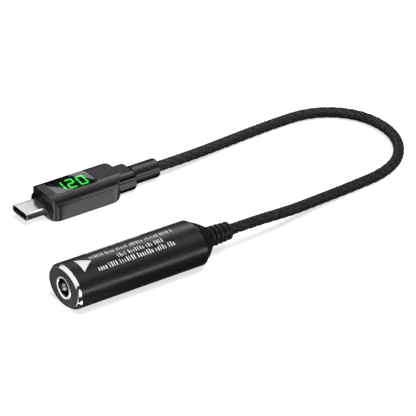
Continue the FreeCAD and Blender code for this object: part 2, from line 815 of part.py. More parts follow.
def make_socket_shell():
    """The oval metal tube, with a wide chamfer at its mouth."""
    mouth = ("socket_width - 2 * chamfer_width", "socket_height - 2 * chamfer_width")
    outside = ("socket_width", "socket_height")
    chamfer = oval_taper("socket_chamfer", "socket_face_x", "chamfer_depth", mouth, outside)
    tube_length = "socket_length - chamfer_depth"
    tube = oval_bar("socket_tube", "socket_face_x + chamfer_depth", tube_length, *outside)
    bore_x = f"socket_face_x - {CUTTER_SPARE}"
    bore = oval_bar("socket_bore", bore_x, f"socket_length + 2 * {CUTTER_SPARE}", INNER_WIDTH, INNER_HEIGHT)
    keep(cut("socket_shell", fuse("socket_outside", chamfer, tube), bore), "socket_shell")


def inner_oval_bar(name, x, length):
    """An elliptical bar that slips into the socket shell."""
    return oval_bar(name, x, length, f"{INNER_WIDTH} - 2 * slip", f"{INNER_HEIGHT} - 2 * slip")


def make_socket_face():
    x = "(socket_face_x + face_recess)"
    plate = inner_oval_bar("socket_face_plate", x, "face_thick")
    hole_length = f"face_thick + 2 * {CUTTER_SPARE}"
    hole = on_axis("socket_face_hole", f"{x} - {CUTTER_SPARE}", hole_length, "ring_radius + slip")
    keep(cut("socket_face", plate, hole), "socket_face")


def on_axis(name, x, length, radius):
    """A cylinder on the socket's axis."""
    return rod(name, x, "socket_axis_y", SOCKET_Z, length, radius)


def make_jack_ring():
    """The bright ring round the jack's bore, flanged behind the face plate."""
    ring = on_axis("jack_ring_outside", "socket_face_x", "ring_length", "ring_radius")
    flange_x = "socket_face_x + ring_length - ring_flange"
    flange = on_axis("jack_ring_flange", flange_x, "ring_flange", "ring_radius + ring_flange")
    bore_x = f"socket_face_x - {CUTTER_SPARE}"
    bore = on_axis("jack_ring_bore", bore_x, f"ring_length + 2 * {CUTTER_SPARE}", "jack_bore_radius")
    wide, narrow = "jack_bore_radius + ring_bevel", "jack_bore_radius"
    bevel = taper("jack_ring_bevel", "socket_face_x", "socket_axis_y", SOCKET_Z, "ring_bevel", wide, narrow)
    keep(cut("jack_ring", fuse("jack_ring_solid", ring, flange), bore, bevel), "jack_ring")


def make_jack_body():
    """The jack's plastic block: a round cavity for the barrel plug and a channel for its spring."""
    low = f"{SOCKET_Z} - jack_body_height / 2"
    length, width, height = "jack_body_length", "jack_body_width", "jack_body_height"
    block_solid = block("jack_body_block", JACK_X, "socket_axis_y", low, length, width, height)
    cavity_x = f"{JACK_X} - {CUTTER_SPARE}"
    cavity = on_axis("jack_cavity", cavity_x, f"jack_cavity_depth + {CUTTER_SPARE}", "jack_cavity_radius")
    channel_height = "(spring_width + 2 * spring_side_room)"
    channel_x = f"({JACK_FLOOR_X} - spring_length - 2 * spring_root_gap - spring_side_room)"
    channel = block(
        "jack_channel",
        channel_x,
        "socket_axis_y + spring_channel / 2",
        f"{SOCKET_Z} - {channel_height} / 2",
        f"{JACK_FLOOR_X} - {channel_x}",
        "spring_channel",
        channel_height,
    )
    shank_hole = on_axis("jack_shank_hole", JACK_FLOOR_X, "jack_body_length", "jack_shank_radius + slip")
    slot_height = "(spring_width + 2 * slip)"
    slot = block(
        "jack_terminal_slot",
        f"{JACK_FLOOR_X} - slip",
        "socket_axis_y + spring_offset + spring_thick / 2",
        f"{SOCKET_Z} - {slot_height} / 2",
        "jack_body_length",
        "spring_thick + 2 * slip",
        slot_height,
    )
    keep(cut("jack_body", block_solid, cavity, channel, shank_hole, slot), "jack_body")


def make_jack_pin():
    """The centre pin, recessed behind the ring, with a thin shank back to the board."""
    narrow, wide = "jack_pin_radius - jack_pin_tip", "jack_pin_radius"
    tip = taper("jack_pin_tip_cone", PIN_X, "socket_axis_y", SOCKET_Z, "jack_pin_tip", narrow, wide)
    body_x = f"({PIN_X} + jack_pin_tip)"
    body = on_axis("jack_pin_body", body_x, f"{JACK_FLOOR_X} - {body_x}", "jack_pin_radius")
    shank = on_axis("jack_pin_shank", JACK_FLOOR_X, "jack_shank_length", "jack_shank_radius")
    keep(fuse("jack_pin", tip, body, shank), "jack_pin")


def make_jack_contacts():
    """The leaf that presses on the barrel plug, and the fixed terminal behind it."""
    y = "socket_axis_y + spring_offset + spring_thick / 2"
    low = f"{SOCKET_Z} - spring_width / 2"
    spring_x = f"{JACK_FLOOR_X} - spring_root_gap - spring_length"
    spring = block("jack_contact_spring", spring_x, y, low, "spring_length", "spring_thick", "spring_width")
    keep(spring, "jack_contact_spring")
    terminal = block("jack_terminal", JACK_FLOOR_X, y, low, "terminal_length", "spring_thick", "spring_width")
    keep(terminal, "jack_terminal")


def make_converter_board():
    name, width, thick = "converter_board", "converter_width", "converter_thick"
    board = block(name, CONVERTER_X, "socket_axis_y", CONVERTER_Z, CONVERTER_LENGTH, width, thick)
    keep(board, "converter_board")


def on_converter(name, start, y, length, width, height, below=False):
    """A component on the converter board, above it or below it."""
    low = f"{CONVERTER_Z} - ({height})" if below else CONVERTER_TOP
    return block(name, f"{CONVERTER_X} + {start}", f"socket_axis_y + ({y})", low, length, width, height)


def make_converter_components():
    """The inductor, bulk capacitors, switches, controller and small capacitors of the converter."""
    x = f"{CONVERTER_X} + inductor_start + inductor_side / 2"
    side, height, corner = "inductor_side", "inductor_height", "inductor_corner"
    keep(slab("inductor", x, "socket_axis_y", CONVERTER_TOP, side, side, height, corner), "inductor")
    bulk = []
    switches = []
    for hand in (-1, 1):
        y = f"socket_axis_y + {hand} * bulk_row"
        x = f"{CONVERTER_X} + bulk_start"
        bulk.append(post(f"bulk_capacitor_{hand + 1}", x, y, CONVERTER_TOP, "bulk_height", "bulk_radius"))
        place = ("switch_start", f"{hand} * switch_row", "switch_side", "switch_side", "switch_height")
        switches.append(on_converter(f"switch_{hand + 1}", *place))
    keep(group("bulk_capacitors", bulk), "bulk_capacitors")
    keep(group("power_switches", switches), "power_switches")
    place = ("controller_start", "0", "controller_side", "controller_side", "switch_height")
    keep(on_converter("converter_controller", *place, below=True), "converter_controller")
    small = []
    for index in range(CERAMIC_CAPACITORS):
        hand = 1 if index % 2 else -1
        start = f"ceramic_start + {index // 2} * ceramic_pitch"
        place = (start, f"{hand} * ceramic_row", "ceramic_length", "ceramic_width", "ceramic_width")
        small.append(on_converter(f"ceramic_{index}", *place, below=True))
    keep(group("ceramic_capacitors", small), "ceramic_capacitors")


def make_board_cradle():
    """The plastic cradle under the converter board: two ribs that fill the shell below it, and a rail."""
    front_x = f"{CONVERTER_X} + cradle_inset"
    rear_x = f"{CONVERTER_END_X} - cradle_inset - cradle_rib"
    ribs = []
    for name, x in (("front", front_x), ("rear", rear_x)):
        disc = inner_oval_bar(f"cradle_{name}_disc", x, "cradle_rib")
        trim_x = f"{x} - {CUTTER_SPARE}"
        length = f"cradle_rib + 2 * {CUTTER_SPARE}"
        width, height = "socket_width", "socket_height"
        trim_z = f"{CONVERTER_Z} - slip"
        trim = block(f"cradle_{name}_trim", trim_x, "socket_axis_y", trim_z, length, width, height)
        ribs.append(cut(f"cradle_{name}_rib", disc, trim))
    rail_x = f"({front_x} + cradle_rib / 2)"
    rail_length = f"{rear_x} + cradle_rib / 2 - {rail_x}"
    rail_z = f"{CONVERTER_Z} - slip - cradle_rail_drop - cradle_rail_height"
    width, height = "cradle_rail_width", "cradle_rail_height"
    rail = block("cradle_rail", rail_x, "socket_axis_y", rail_z, rail_length, width, height)
    keep(fuse("board_cradle", *ribs, rail), "board_cradle")


def make_socket_cable_end():
    """The cable's stretch inside the strain relief and cone, its crimp, and the two power wires."""
    tail_length = f"{RELIEF_END_X} - {SOCKET_TAIL_X}"
    keep(on_axis("socket_cable_tail", SOCKET_TAIL_X, tail_length, "cable_radius"), "socket_cable_tail")
    keep(crimp("socket_crimp", f"({SOCKET_TAIL_X} + slip)", "socket_axis_y", SOCKET_Z), "socket_crimp")
    x = f"({CONVERTER_END_X} - power_wire_overlap)"
    z = f"{CONVERTER_TOP} + power_wire_radius + slip"
    wires = []
    for side in (-1, 1):
        y = f"socket_axis_y + {side} * (power_wire_radius + slip)"
        wires.append(rod(f"power_wire_{side + 1}", x, y, z, f"{SOCKET_TAIL_X} - {x}", "power_wire_radius"))
    keep(group("power_wires", wires), "power_wires")


def make_rear_cone():
    """The cap that closes the shell and narrows to the cable."""
    spigot = inner_oval_bar("cone_spigot_bar", f"{CONE_X} - cone_spigot", f"cone_spigot + {FEED}")
    start = ("socket_width - 2 * cone_step", "socket_height - 2 * cone_step")
    cone = oval_taper("cone_outside", CONE_X, "cone_length", start, ("cone_end_width", "cone_end_height"))
    length = "(cone_spigot + cone_length)"
    bore = cable_bore("cone_bore", f"{CONE_X} - cone_spigot", length, "socket_axis_y", SOCKET_Z)
    pocket_radius = "cable_radius + crimp_wall + pocket_room"
    pocket = on_axis("cone_pocket", SOCKET_TAIL_X, "crimp_length + pocket_spare", pocket_radius)
    keep(cut("rear_cone", fuse("cone_solid", spigot, cone), bore, pocket), "rear_cone")


def make_strain_relief():
    """The ribbed rubber relief round the cable."""
    rings = [on_axis("relief_core", RELIEF_X, "relief_length", "relief_core_radius")]
    for index in range(RELIEF_RIBS):
        x = f"{RELIEF_X} + {index} * (relief_length - relief_rib_width) / {RELIEF_RIBS - 1}"
        radius = f"relief_rib_radius - {index} * relief_rib_drop"
        rings.append(on_axis(f"relief_rib_{index}", x, "relief_rib_width", radius))
    bore = cable_bore("relief_bore", RELIEF_X, "relief_length", "socket_axis_y", SOCKET_Z)
    keep(cut("strain_relief", fuse("relief_solid", *rings), bore), "strain_relief")


def arc_path(points):
    """Straight runs joined by tangent arcs; each arc is as large as its two runs allow."""
    edges = []
    start = points[0]
    for before, corner, after in zip(points, points[1:], points[2:]):
        towards = (before - corner).normalize()
        away = (after - corner).normalize()
        turn = math.pi - towards.getAngle(away)
        reach = ARC_SHARE * min((corner - before).Length, (after - corner).Length)
        radius = reach / math.tan(turn / 2)
        bisector = (towards + away).normalize()
        middle = corner + bisector * (radius / math.cos(turn / 2) - radius)
        edges.append(Part.LineSegment(start, corner + towards * reach).toShape())
        edges.append(Part.Arc(corner + towards * reach, middle, corner + away * reach).toShape())
        start = corner + away * reach
        print(f"cable turn {math.degrees(turn):.1f} degrees, radius {radius:.1f}")
    edges.append(Part.LineSegment(start, points[-1]).toShape())
    return Part.Wire(edges)


def make_cable():
    """The free cable, from the sleeve's end to the strain relief's end."""
    sleeve_end = Vector(doc.plug_cable_tail.Shape.BoundBox.XMax, size("plug_axis_y"), size("lead_axis_z"))
    relief_x = doc.socket_cable_tail.Shape.BoundBox.XMax
    relief_end = Vector(relief_x, size("socket_axis_y"), size("socket_height") / 2)
    points = [sleeve_end] + [Vector(*point) for point in CABLE_ROUTE] + [relief_end]
    path = arc_path(points)
    section = Part.Wire(Part.makeCircle(size("cable_radius"), points[0], points[1] - points[0]))
    cable = doc.addObject("Part::Feature", "cable")
    cable.Shape = path.makePipeShell([section], True, True)
    cable.Placement = FreeCAD.Placement()
    expected = math.pi * size("cable_radius") ** 2 * path.Length
    print(f"cable length {path.Length:.1f}, volume {cable.Shape.Volume:.1f}, expected {expected:.1f}")
    keep(cable, "cable")


def check_model():
    """Stop if any object failed or any sub-part has no valid solid."""
    for item in doc.Objects:
        if "Invalid" in item.State or "Error" in item.State:
            raise RuntimeError(f"{item.Name} failed: {item.State}")
    for node in nodes:
        if node.Shape.isNull() or not node.Shape.isValid() or not node.Shape.Solids:
            raise RuntimeError(f"{node.Label} has no valid solid")


def write_parts():
    os.makedirs("parts", exist_ok=True)
    for node in nodes:
        node.Shape.exportStep(f"parts/{node.Label}.step")
        print(f"{node.Label}: {len(node.Shape.Solids)} solids, {node.Shape.Volume:.2f} mm3")


fill_sheet()
make_usb_shell()
make_usb_insulator()
make_usb_contacts()
make_usb_latches()
make_usb_midplate()
make_plug_collar()
make_plug_housing()
make_plug_cover()
make_display()
make_plug_board()
make_plug_components()
make_neck()
make_neck_sleeve()
make_plug_cable_end()
make_socket_shell()
make_socket_face()
make_jack_ring()
make_jack_body()
make_jack_pin()
make_jack_contacts()
make_converter_board()
make_converter_components()
make_board_cradle()
make_socket_cable_end()
make_rear_cone()
make_strain_relief()
doc.recompute()
make_cable()
doc.recompute()
check_model()
write_parts()
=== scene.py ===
"""Looks of a DC-jack to USB-C power lead with a power meter in its plug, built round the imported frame."""

import logging
import math
import random
from dataclasses import dataclass
from enum import Enum

import bmesh
import bpy
from mathutils import Matrix, Vector


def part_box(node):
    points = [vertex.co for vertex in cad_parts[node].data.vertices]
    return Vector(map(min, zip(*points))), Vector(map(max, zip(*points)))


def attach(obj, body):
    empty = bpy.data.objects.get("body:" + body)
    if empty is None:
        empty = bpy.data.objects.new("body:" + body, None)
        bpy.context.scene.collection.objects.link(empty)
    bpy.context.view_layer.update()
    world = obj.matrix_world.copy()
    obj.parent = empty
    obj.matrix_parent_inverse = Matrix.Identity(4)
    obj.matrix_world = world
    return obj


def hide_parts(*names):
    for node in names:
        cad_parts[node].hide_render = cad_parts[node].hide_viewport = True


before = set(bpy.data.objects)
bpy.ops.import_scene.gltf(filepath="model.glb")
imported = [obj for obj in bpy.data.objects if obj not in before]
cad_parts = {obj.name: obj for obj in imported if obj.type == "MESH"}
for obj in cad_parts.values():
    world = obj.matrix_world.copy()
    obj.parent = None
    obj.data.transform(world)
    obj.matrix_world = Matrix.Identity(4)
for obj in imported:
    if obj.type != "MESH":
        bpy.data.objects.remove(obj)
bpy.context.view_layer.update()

MM = 0.001
AXIS = Vector((1, 0, 0))
SMOOTH_ANGLE = math.radians(35)
FIXED_BODY = "root"
# How far a cutter runs past what it cuts, and the short flat left on an end that is nearly round.
OVER = 1 * MM
END_FLAT = 0.1 * MM
LOG = logging.getLogger("power_meter")

Point = tuple[float, float]
Triple = tuple[float, float, float]
Colour = tuple[float, float, float]
BMesh = bmesh.types.BMesh
Node = bpy.types.Node
Socket = bpy.types.NodeSocket


class Outline(Enum):
    """The cross-section of a piece that runs along X."""

    OVAL = "oval"
    ROUNDED = "rounded"


# ---------------------------------------------------------------- places


@dataclass(frozen=True)
class Place:
    """The box that a CAD node fills at rest, in metres."""

    low: Vector
    high: Vector

    @classmethod
    def of(cls, node: str) -> "Place":
        """Read a node's box from the frame."""
        low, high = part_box(node)
        return cls(Vector(low), Vector(high))

    @property
    def middle(self) -> Vector:
        """The box's centre."""
        return (self.low + self.high) / 2

    @property
    def size(self) -> Vector:
        """The box's extents."""
        return self.high - self.low

    @property
    def half(self) -> Point:
        """Half its width along Y and half its height along Z."""
        return self.size.y / 2, self.size.z / 2

    @property
    def front(self) -> Vector:
        """The centre of its low-X end."""
        return Vector((self.low.x, self.middle.y, self.middle.z))

    @property
    def rear(self) -> Vector:
        """The centre of its high-X end."""
        return Vector((self.high.x, self.middle.y, self.middle.z))


# ---------------------------------------------------------------- mesh work


def bevel(
    bm: BMesh, geom: list, offset: float, segments: int, affect: str = "EDGES", clamp: bool = False
) -> None:
    """Round edges, or the corners of a flat face."""
    bmesh.ops.bevel(
        bm, geom=geom, offset=offset, offset_type="OFFSET", segments=segments, profile=0.5,
        affect=affect, clamp_overlap=clamp, material=-1,
    )


def extruded(bm: BMesh, edges: list) -> tuple[list, list]:
    """Extrude a loop in place; return the new loop's vertices and edges."""
    grown = bmesh.ops.extrude_edge_only(bm, edges=edges)["geom"]
    verts = [item for item in grown if isinstance(item, bmesh.types.BMVert)]
    edges = [item for item in grown if isinstance(item, bmesh.types.BMEdge)]
    return verts, [edge for edge in edges if all(vert in verts for vert in edge.verts)]


def quarter(size: float, steps: int) -> list[Point]:
    """A quarter round: pairs of (what is left to its end, inset from its start)."""
    angles = [math.pi / 2 * step / steps for step in range(steps + 1)]
    return [(size * (1 - math.sin(angle)), size * (1 - math.cos(angle))) for angle in angles]


def ring(bm: BMesh, outline: Outline, at: Vector, half: Point, corner: float, steps: int) -> list:
    """Start a closed loop of edges across X.

    Args:
        bm: The mesh to add to.
        outline: Oval, or a rectangle with rounded corners.
        at: The loop's centre.
        half: Half width along Y and half height along Z.
        corner: Corner radius of a rounded rectangle.
        steps: Edges round an oval, or per rounded corner.

    Returns:
        The loop's edges.
    """
    frame_matrix = Matrix(((0, 0, 1, at.x), (half[0], 0, 0, at.y), (0, half[1], 0, at.z), (0, 0, 0, 1)))
    if outline is Outline.OVAL:
        made = bmesh.ops.create_circle(bm, cap_ends=False, radius=1, segments=steps, matrix=frame_matrix)
        return list(dict.fromkeys(edge for vert in made["verts"] for edge in vert.link_edges))
    made = bmesh.ops.create_grid(bm, x_segments=1, y_segments=1, size=1, matrix=frame_matrix)
    bevel(bm, made["verts"], corner, steps, "VERTICES")
    face = next(item for item in bm.faces if item.is_valid and len(item.verts) > 4)
    edges = list(face.edges)
    bmesh.ops.delete(bm, geom=[face], context="FACES_ONLY")
    return edges


def walls(bm: BMesh, edges: list, centre: Vector, half: Point, stations: list[Point]) -> list:
    """Extrude a loop through stations.

    Args:
        bm: The mesh that holds the loop.
        edges: The loop's edges.
        centre: A point on the axis, at the loop.
        half: The loop's half width and half height, with no inset.
        stations: Pairs of place along X and inset from the outline.

    Returns:
        The last loop's edges.
    """
    x_now, inset_now = centre.x, 0.0
    for x_next, inset in stations:
        verts, edges = extruded(bm, edges)
        factor = Vector((1, *((extent - inset) / (extent - inset_now) for extent in half)))
        bmesh.ops.scale(bm, vec=factor, space=Matrix.Translation(-centre), verts=verts)
        bmesh.ops.translate(bm, vec=AXIS * (x_next - x_now), verts=verts)
        x_now, inset_now = x_next, inset
    return edges


def close_end(bm: BMesh, edges: list) -> None:
    """Fill a loop with a face."""
    bmesh.ops.holes_fill(bm, edges=edges, sides=0)


def soften(bm: BMesh, offset: float, segments: int = 3, sharper_than: float = 28) -> None:
    """Bevel every edge whose faces meet at more than an angle in degrees."""
    bmesh.ops.remove_doubles(bm, verts=bm.verts, dist=1e-7)
    bmesh.ops.recalc_face_normals(bm, faces=bm.faces)
    limit = math.radians(sharper_than)
    edges = [edge for edge in bm.edges if len(edge.link_faces) == 2 and edge.calc_face_angle(0) > limit]
    bevel(bm, edges, offset, segments, clamp=True)


def bar(outline: Outline, start: Vector, half: Point, corner: float, steps: int, end: float) -> BMesh:
    """A closed bar along X.

    Args:
        outline: Its cross-section.
        start: The centre of its first end.
        half: Half width along Y and half height along Z.
        corner: Corner radius of a rounded rectangle.
        steps: Edges round an oval, or per rounded corner.
        end: The place along X of its other end.

    Returns:
        A new mesh that holds only the bar.
    """
    bm = bmesh.new()
    edges = ring(bm, outline, start, half, corner, steps)
    close_end(bm, edges)
    close_end(bm, walls(bm, edges, start, half, [(end, 0)]))
    return bm


def spun(bm: BMesh, centre: Vector, profile: list[Point], steps: int = 64) -> None:
    """Spin a profile of (place along X, radius) pairs round the axis through centre."""
    verts = [bm.verts.new((x, centre.y, centre.z + radius)) for x, radius in profile]
    edges = [bm.edges.new(pair) for pair in zip(verts, verts[1:])]
    bmesh.ops.spin(
        bm, geom=verts + edges, cent=centre, axis=AXIS, dvec=(0, 0, 0), angle=math.tau,
        steps=steps, use_merge=True, use_duplicate=False,
    )
    bmesh.ops.remove_doubles(bm, verts=bm.verts, dist=1e-7)
    bmesh.ops.recalc_face_normals(bm, faces=bm.faces)


def slab(bm: BMesh, at: Vector, size: Vector, corners: Point, steps: int = 10) -> list:
    """Add a plate with rounded upright edges.

    Args:
        bm: The mesh to add to.
        at: The middle of its underside.
        size: Its extents.
        corners: The corner radii at its low-X end and its high-X end.
        steps: Edges per corner.

    Returns:
        The plate's vertices.
    """
    before = set(bm.verts)
    matrix = Matrix.Translation(at) @ Matrix.Diagonal((size.x / 2, size.y / 2, 1, 1))
    made = bmesh.ops.create_grid(bm, x_segments=1, y_segments=1, size=1, matrix=matrix)
    ends = [[vert for vert in made["verts"] if (vert.co.x < at.x) is low] for low in (True, False)]
    for verts, corner in zip(ends, corners):
        bevel(bm, verts, corner, steps, "VERTICES")
    faces = [item for item in bm.faces if not set(item.verts) & before]
    grown = bmesh.ops.extrude_face_region(bm, geom=faces)["geom"]
    top = [item for item in grown if isinstance(item, bmesh.types.BMVert)]
    bmesh.ops.translate(bm, vec=(0, 0, size.z), verts=top)
    return [vert for vert in bm.verts if vert not in before]


def new_object(name: str, bm: BMesh, materials: list[bpy.types.Material]) -> bpy.types.Object:
    """Turn a bmesh into a linked object with smooth faces and sharp edges where they are sharp."""
    bmesh.ops.remove_doubles(bm, verts=bm.verts, dist=1e-7)
    bmesh.ops.recalc_face_normals(bm, faces=bm.faces)
    mesh = bpy.data.meshes.new(name)
    bm.to_mesh(mesh)
    bm.free()
    mesh.shade_smooth()
    mesh.set_sharp_from_angle(angle=SMOOTH_ANGLE)
    for material in materials:
        mesh.materials.append(material)
    item = bpy.data.objects.new(name, mesh)
    bpy.context.collection.objects.link(item)
    return item


def fit_out(item: bpy.types.Object, replaced: tuple[str, ...] = ()) -> None:
    """Put a finished piece on the fixed body, in place of the CAD nodes it stands for."""
    shading = item.modifiers.new("flat_faces_stay_flat", "WEIGHTED_NORMAL")
    shading.keep_sharp = True
    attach(item, FIXED_BODY)
    if replaced:
        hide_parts(*replaced)
    LOG.info("%s: %d faces", item.name, len(item.data.polygons))


def carve(item: bpy.types.Object, cutter_mesh: BMesh, operation: str = "DIFFERENCE") -> None:
    """Cut a closed shape out of a piece, or keep only what lies in it, and apply it."""
    cutter = new_object(f"{item.name}_cutter", cutter_mesh, [])
    modifier = item.modifiers.new("cut", "BOOLEAN")
    modifier.operation = operation
    modifier.solver = "EXACT"
    modifier.object = cutter
    apply_modifiers(item)
    bpy.data.objects.remove(cutter)


def apply_modifiers(item: bpy.types.Object) -> None:
    """Replace a piece's mesh by its evaluated one and clear its modifiers."""
    evaluated = item.evaluated_get(bpy.context.evaluated_depsgraph_get())
    mesh = bpy.data.meshes.new_from_object(evaluated)
    item.modifiers.clear()
    item.data = mesh
    mesh.shade_smooth()
    mesh.set_sharp_from_angle(angle=SMOOTH_ANGLE)


# ---------------------------------------------------------------- shader groups


class Graph:
    """A thin helper for building a node tree."""

    def __init__(self, tree: bpy.types.NodeTree) -> None:
        """Hold the tree that nodes are added to."""
        self.tree = tree

    def add(self, kind: str, settings: dict | None = None, **inputs: object) -> Node:
        """Add a node.

        Args:
            kind: The node's bl_idname.
            settings: Properties to set on the node.
            inputs: Socket values by name, with underscores for spaces, or by number as i0, i1 and so on;
                an output socket is linked.

        Returns:
            The node.
        """
        node = self.tree.nodes.new(kind)
        for name, value in (settings or {}).items():
            setattr(node, name, value)
        for name, value in inputs.items():
            numbered = name[0] == "i" and name[1:].isdigit()
            socket = node.inputs[int(name[1:]) if numbered else name.replace("_", " ")]
            if isinstance(value, Socket):
                self.tree.links.new(value, socket)
            else:
                socket.default_value = value
        return node

    def math(self, operation: str, first: object, second: object = 0.0, clamp: bool = False) -> Socket:
        """Add a Math node and return its output."""
        settings = {"operation": operation, "use_clamp": clamp}
        return self.add("ShaderNodeMath", settings, i0=first, i1=second).outputs[0]

    def spread(self, value: object, low: float, high: float) -> Socket:
        """Map 0..1 to low..high."""
        node = self.add("ShaderNodeMapRange", None, Value=value, To_Min=low, To_Max=high)
        return node.outputs["Result"]

    def group(self, tree: bpy.types.NodeTree, **inputs: object) -> Node:
        """Add a shared shader group."""
        return self.add("ShaderNodeGroup", {"node_tree": tree}, **inputs)

    def mix(self, share: Socket, first: Colour, second: Colour) -> Socket:
        """Mix two colours by a mask and return the output."""
        node = self.add("ShaderNodeMix", {"data_type": "RGBA"}, i0=share, i6=rgba(first), i7=rgba(second))
        return node.outputs[2]

    def bump(self, shader: Node, height: Socket, strength: float, distance: float) -> None:
        """Drive a shader's normal from a height."""
        node = self.add("ShaderNodeBump", None, Strength=strength, Distance=distance, Height=height)
        self.link(node.outputs["Normal"], shader.inputs["Normal"])

    def link(self, output: Socket, target: Socket) -> None:
        """Join two sockets."""
        self.tree.links.new(output, target)


FLOAT, VECTOR = "NodeSocketFloat", "NodeSocketVector"
RELIEF = [("Height", FLOAT), ("Mask", FLOAT)]


def shader_group(name: str, inputs: list[tuple[str, str, object]], outputs: list[tuple[str, str]]) -> tuple:
    """Start a shader node group.

    Args:
        name: The group's name.
        inputs: (socket name, socket kind, default) for each input; default None leaves it.
        outputs: (socket name, socket kind) for each output.

    Returns:
        The group's tree, its graph helper, and its input and output nodes.
    """
    tree = bpy.data.node_groups.new(name, "ShaderNodeTree")
    for label, kind, default in inputs:
        socket = tree.interface.new_socket(label, in_out="INPUT", socket_type=kind)
        if default is not None:
            socket.default_value = default
    for label, kind in outputs:
        tree.interface.new_socket(label, in_out="OUTPUT", socket_type=kind)
    graph = Graph(tree)
    return tree, graph, graph.add("NodeGroupInput"), graph.add("NodeGroupOutput")


class ShaderLibrary:
    """The effects that several finishes share, each built once."""

    def __init__(self) -> None:
        """Build every group."""
        self.grain = self.build_grain()
        self.streaks = self.build_streaks()
        self.handling = self.build_handling()
        self.yarn = self.build_yarn()

    @staticmethod
    def build_grain() -> bpy.types.NodeTree:
        """Fine pits of a moulded or blasted surface: a height and a mask."""
        tree, graph, given, result = shader_group(
            "fine_grain",
            [("Vector", VECTOR, None), ("Scale", FLOAT, 4000.0), ("Softness", FLOAT, 0.5)],
            RELIEF,
        )
        noise = graph.add(
            "ShaderNodeTexNoise", None, Vector=given.outputs["Vector"], Scale=given.outputs["Scale"],
            Detail=3.0, Roughness=given.outputs["Softness"],
        )
        cells = graph.add(
            "ShaderNodeTexVoronoi", {"feature": "SMOOTH_F1"}, Vector=given.outputs["Vector"],
            Scale=given.outputs["Scale"],
        )
        pits = graph.math("MULTIPLY", cells.outputs["Distance"], 0.6)
        graph.link(graph.math("ADD", noise.outputs["Fac"], pits), result.inputs["Height"])
        graph.link(graph.spread(noise.outputs["Fac"], -0.2, 1.2), result.inputs["Mask"])
        return tree

    @staticmethod
    def build_streaks() -> bpy.types.NodeTree:
        """Long fine streaks along X, as on a drawn or brushed part."""
        tree, graph, given, result = shader_group(
            "drawn_streaks",
            [("Vector", VECTOR, None), ("Scale", FLOAT, 3000.0), ("Stretch", FLOAT, 0.02)],
            RELIEF,
        )
        stretch = graph.add("ShaderNodeCombineXYZ", None, X=given.outputs["Stretch"], Y=1.0, Z=1.0)
        vector = graph.add(
            "ShaderNodeVectorMath", {"operation": "MULTIPLY"},
            i0=given.outputs["Vector"], i1=stretch.outputs[0],
        )
        noise = graph.add(
            "ShaderNodeTexNoise", None, Vector=vector.outputs[0], Scale=given.outputs["Scale"],
            Detail=4.0, Roughness=0.65,
        )
        graph.link(noise.outputs["Fac"], result.inputs["Height"])
        graph.link(graph.spread(noise.outputs["Fac"], -0.3, 1.3), result.inputs["Mask"])
        return tree

    @staticmethod
    def build_handling() -> bpy.types.NodeTree:
        """Broad, soft patches and a few specks, as fingers and dust leave them."""
        tree, graph, given, result = shader_group(
            "handling_marks",
            [("Vector", VECTOR, None), ("Scale", FLOAT, 120.0), ("Specks", FLOAT, 0.2)],
            [("Patches", FLOAT), ("Specks", FLOAT)],
        )
        broad = graph.add(
            "ShaderNodeTexNoise", None, Vector=given.outputs["Vector"], Scale=given.outputs["Scale"],
            Detail=5.0, Roughness=0.55, Distortion=0.6,
        )
        patches = graph.add(
            "ShaderNodeMapRange", None, Value=broad.outputs["Fac"], From_Min=0.35, From_Max=0.7
        )
        graph.link(patches.outputs["Result"], result.inputs["Patches"])
        fine = graph.add(
            "ShaderNodeTexVoronoi", None, Vector=given.outputs["Vector"],
            Scale=graph.math("MULTIPLY", given.outputs["Scale"], 9.0),
        )
        reach = graph.math("MULTIPLY", given.outputs["Specks"], 0.3)
        near = graph.math("LESS_THAN", fine.outputs["Distance"], reach)
        graph.link(graph.math("MULTIPLY", near, patches.outputs["Result"]), result.inputs["Specks"])
        return tree

    @staticmethod
    def build_yarn() -> bpy.types.NodeTree:
        """Fine filaments along a yarn, from its UV map: U runs along it and V round it."""
        tree, graph, given, result = shader_group(
            "yarn_filaments",
            [("UV", VECTOR, None), ("Filaments", FLOAT, 9.0), ("Twist", FLOAT, 0.6)],
            RELIEF,
        )
        parts = graph.add("ShaderNodeSeparateXYZ", None, Vector=given.outputs["UV"])
        twisted = graph.math("MULTIPLY", parts.outputs["X"], given.outputs["Twist"])
        turned = graph.math("ADD", parts.outputs["Y"], twisted)
        phase = graph.math("MULTIPLY", graph.math("MULTIPLY", turned, given.outputs["Filaments"]), math.tau)
        wave = graph.spread(graph.math("SINE", phase), 0.0, 0.5)
        graph.link(wave, result.inputs["Height"])
        noise = graph.add("ShaderNodeTexNoise", None, Vector=given.outputs["UV"], Scale=3.0, Detail=3.0)
        # The mask is a random tone along the yarn, lighter on the filament crests and darker between them:
        # painted highlight and painted shade.
        mask = graph.math("MULTIPLY", noise.outputs["Fac"], graph.math("ADD", wave, 0.5))
        graph.link(mask, result.inputs["Mask"])
        return tree


# ---------------------------------------------------------------- finishes


def rgba(colour: Colour) -> tuple[float, float, float, float]:
    """A colour with full alpha."""
    return (*colour, 1.0)


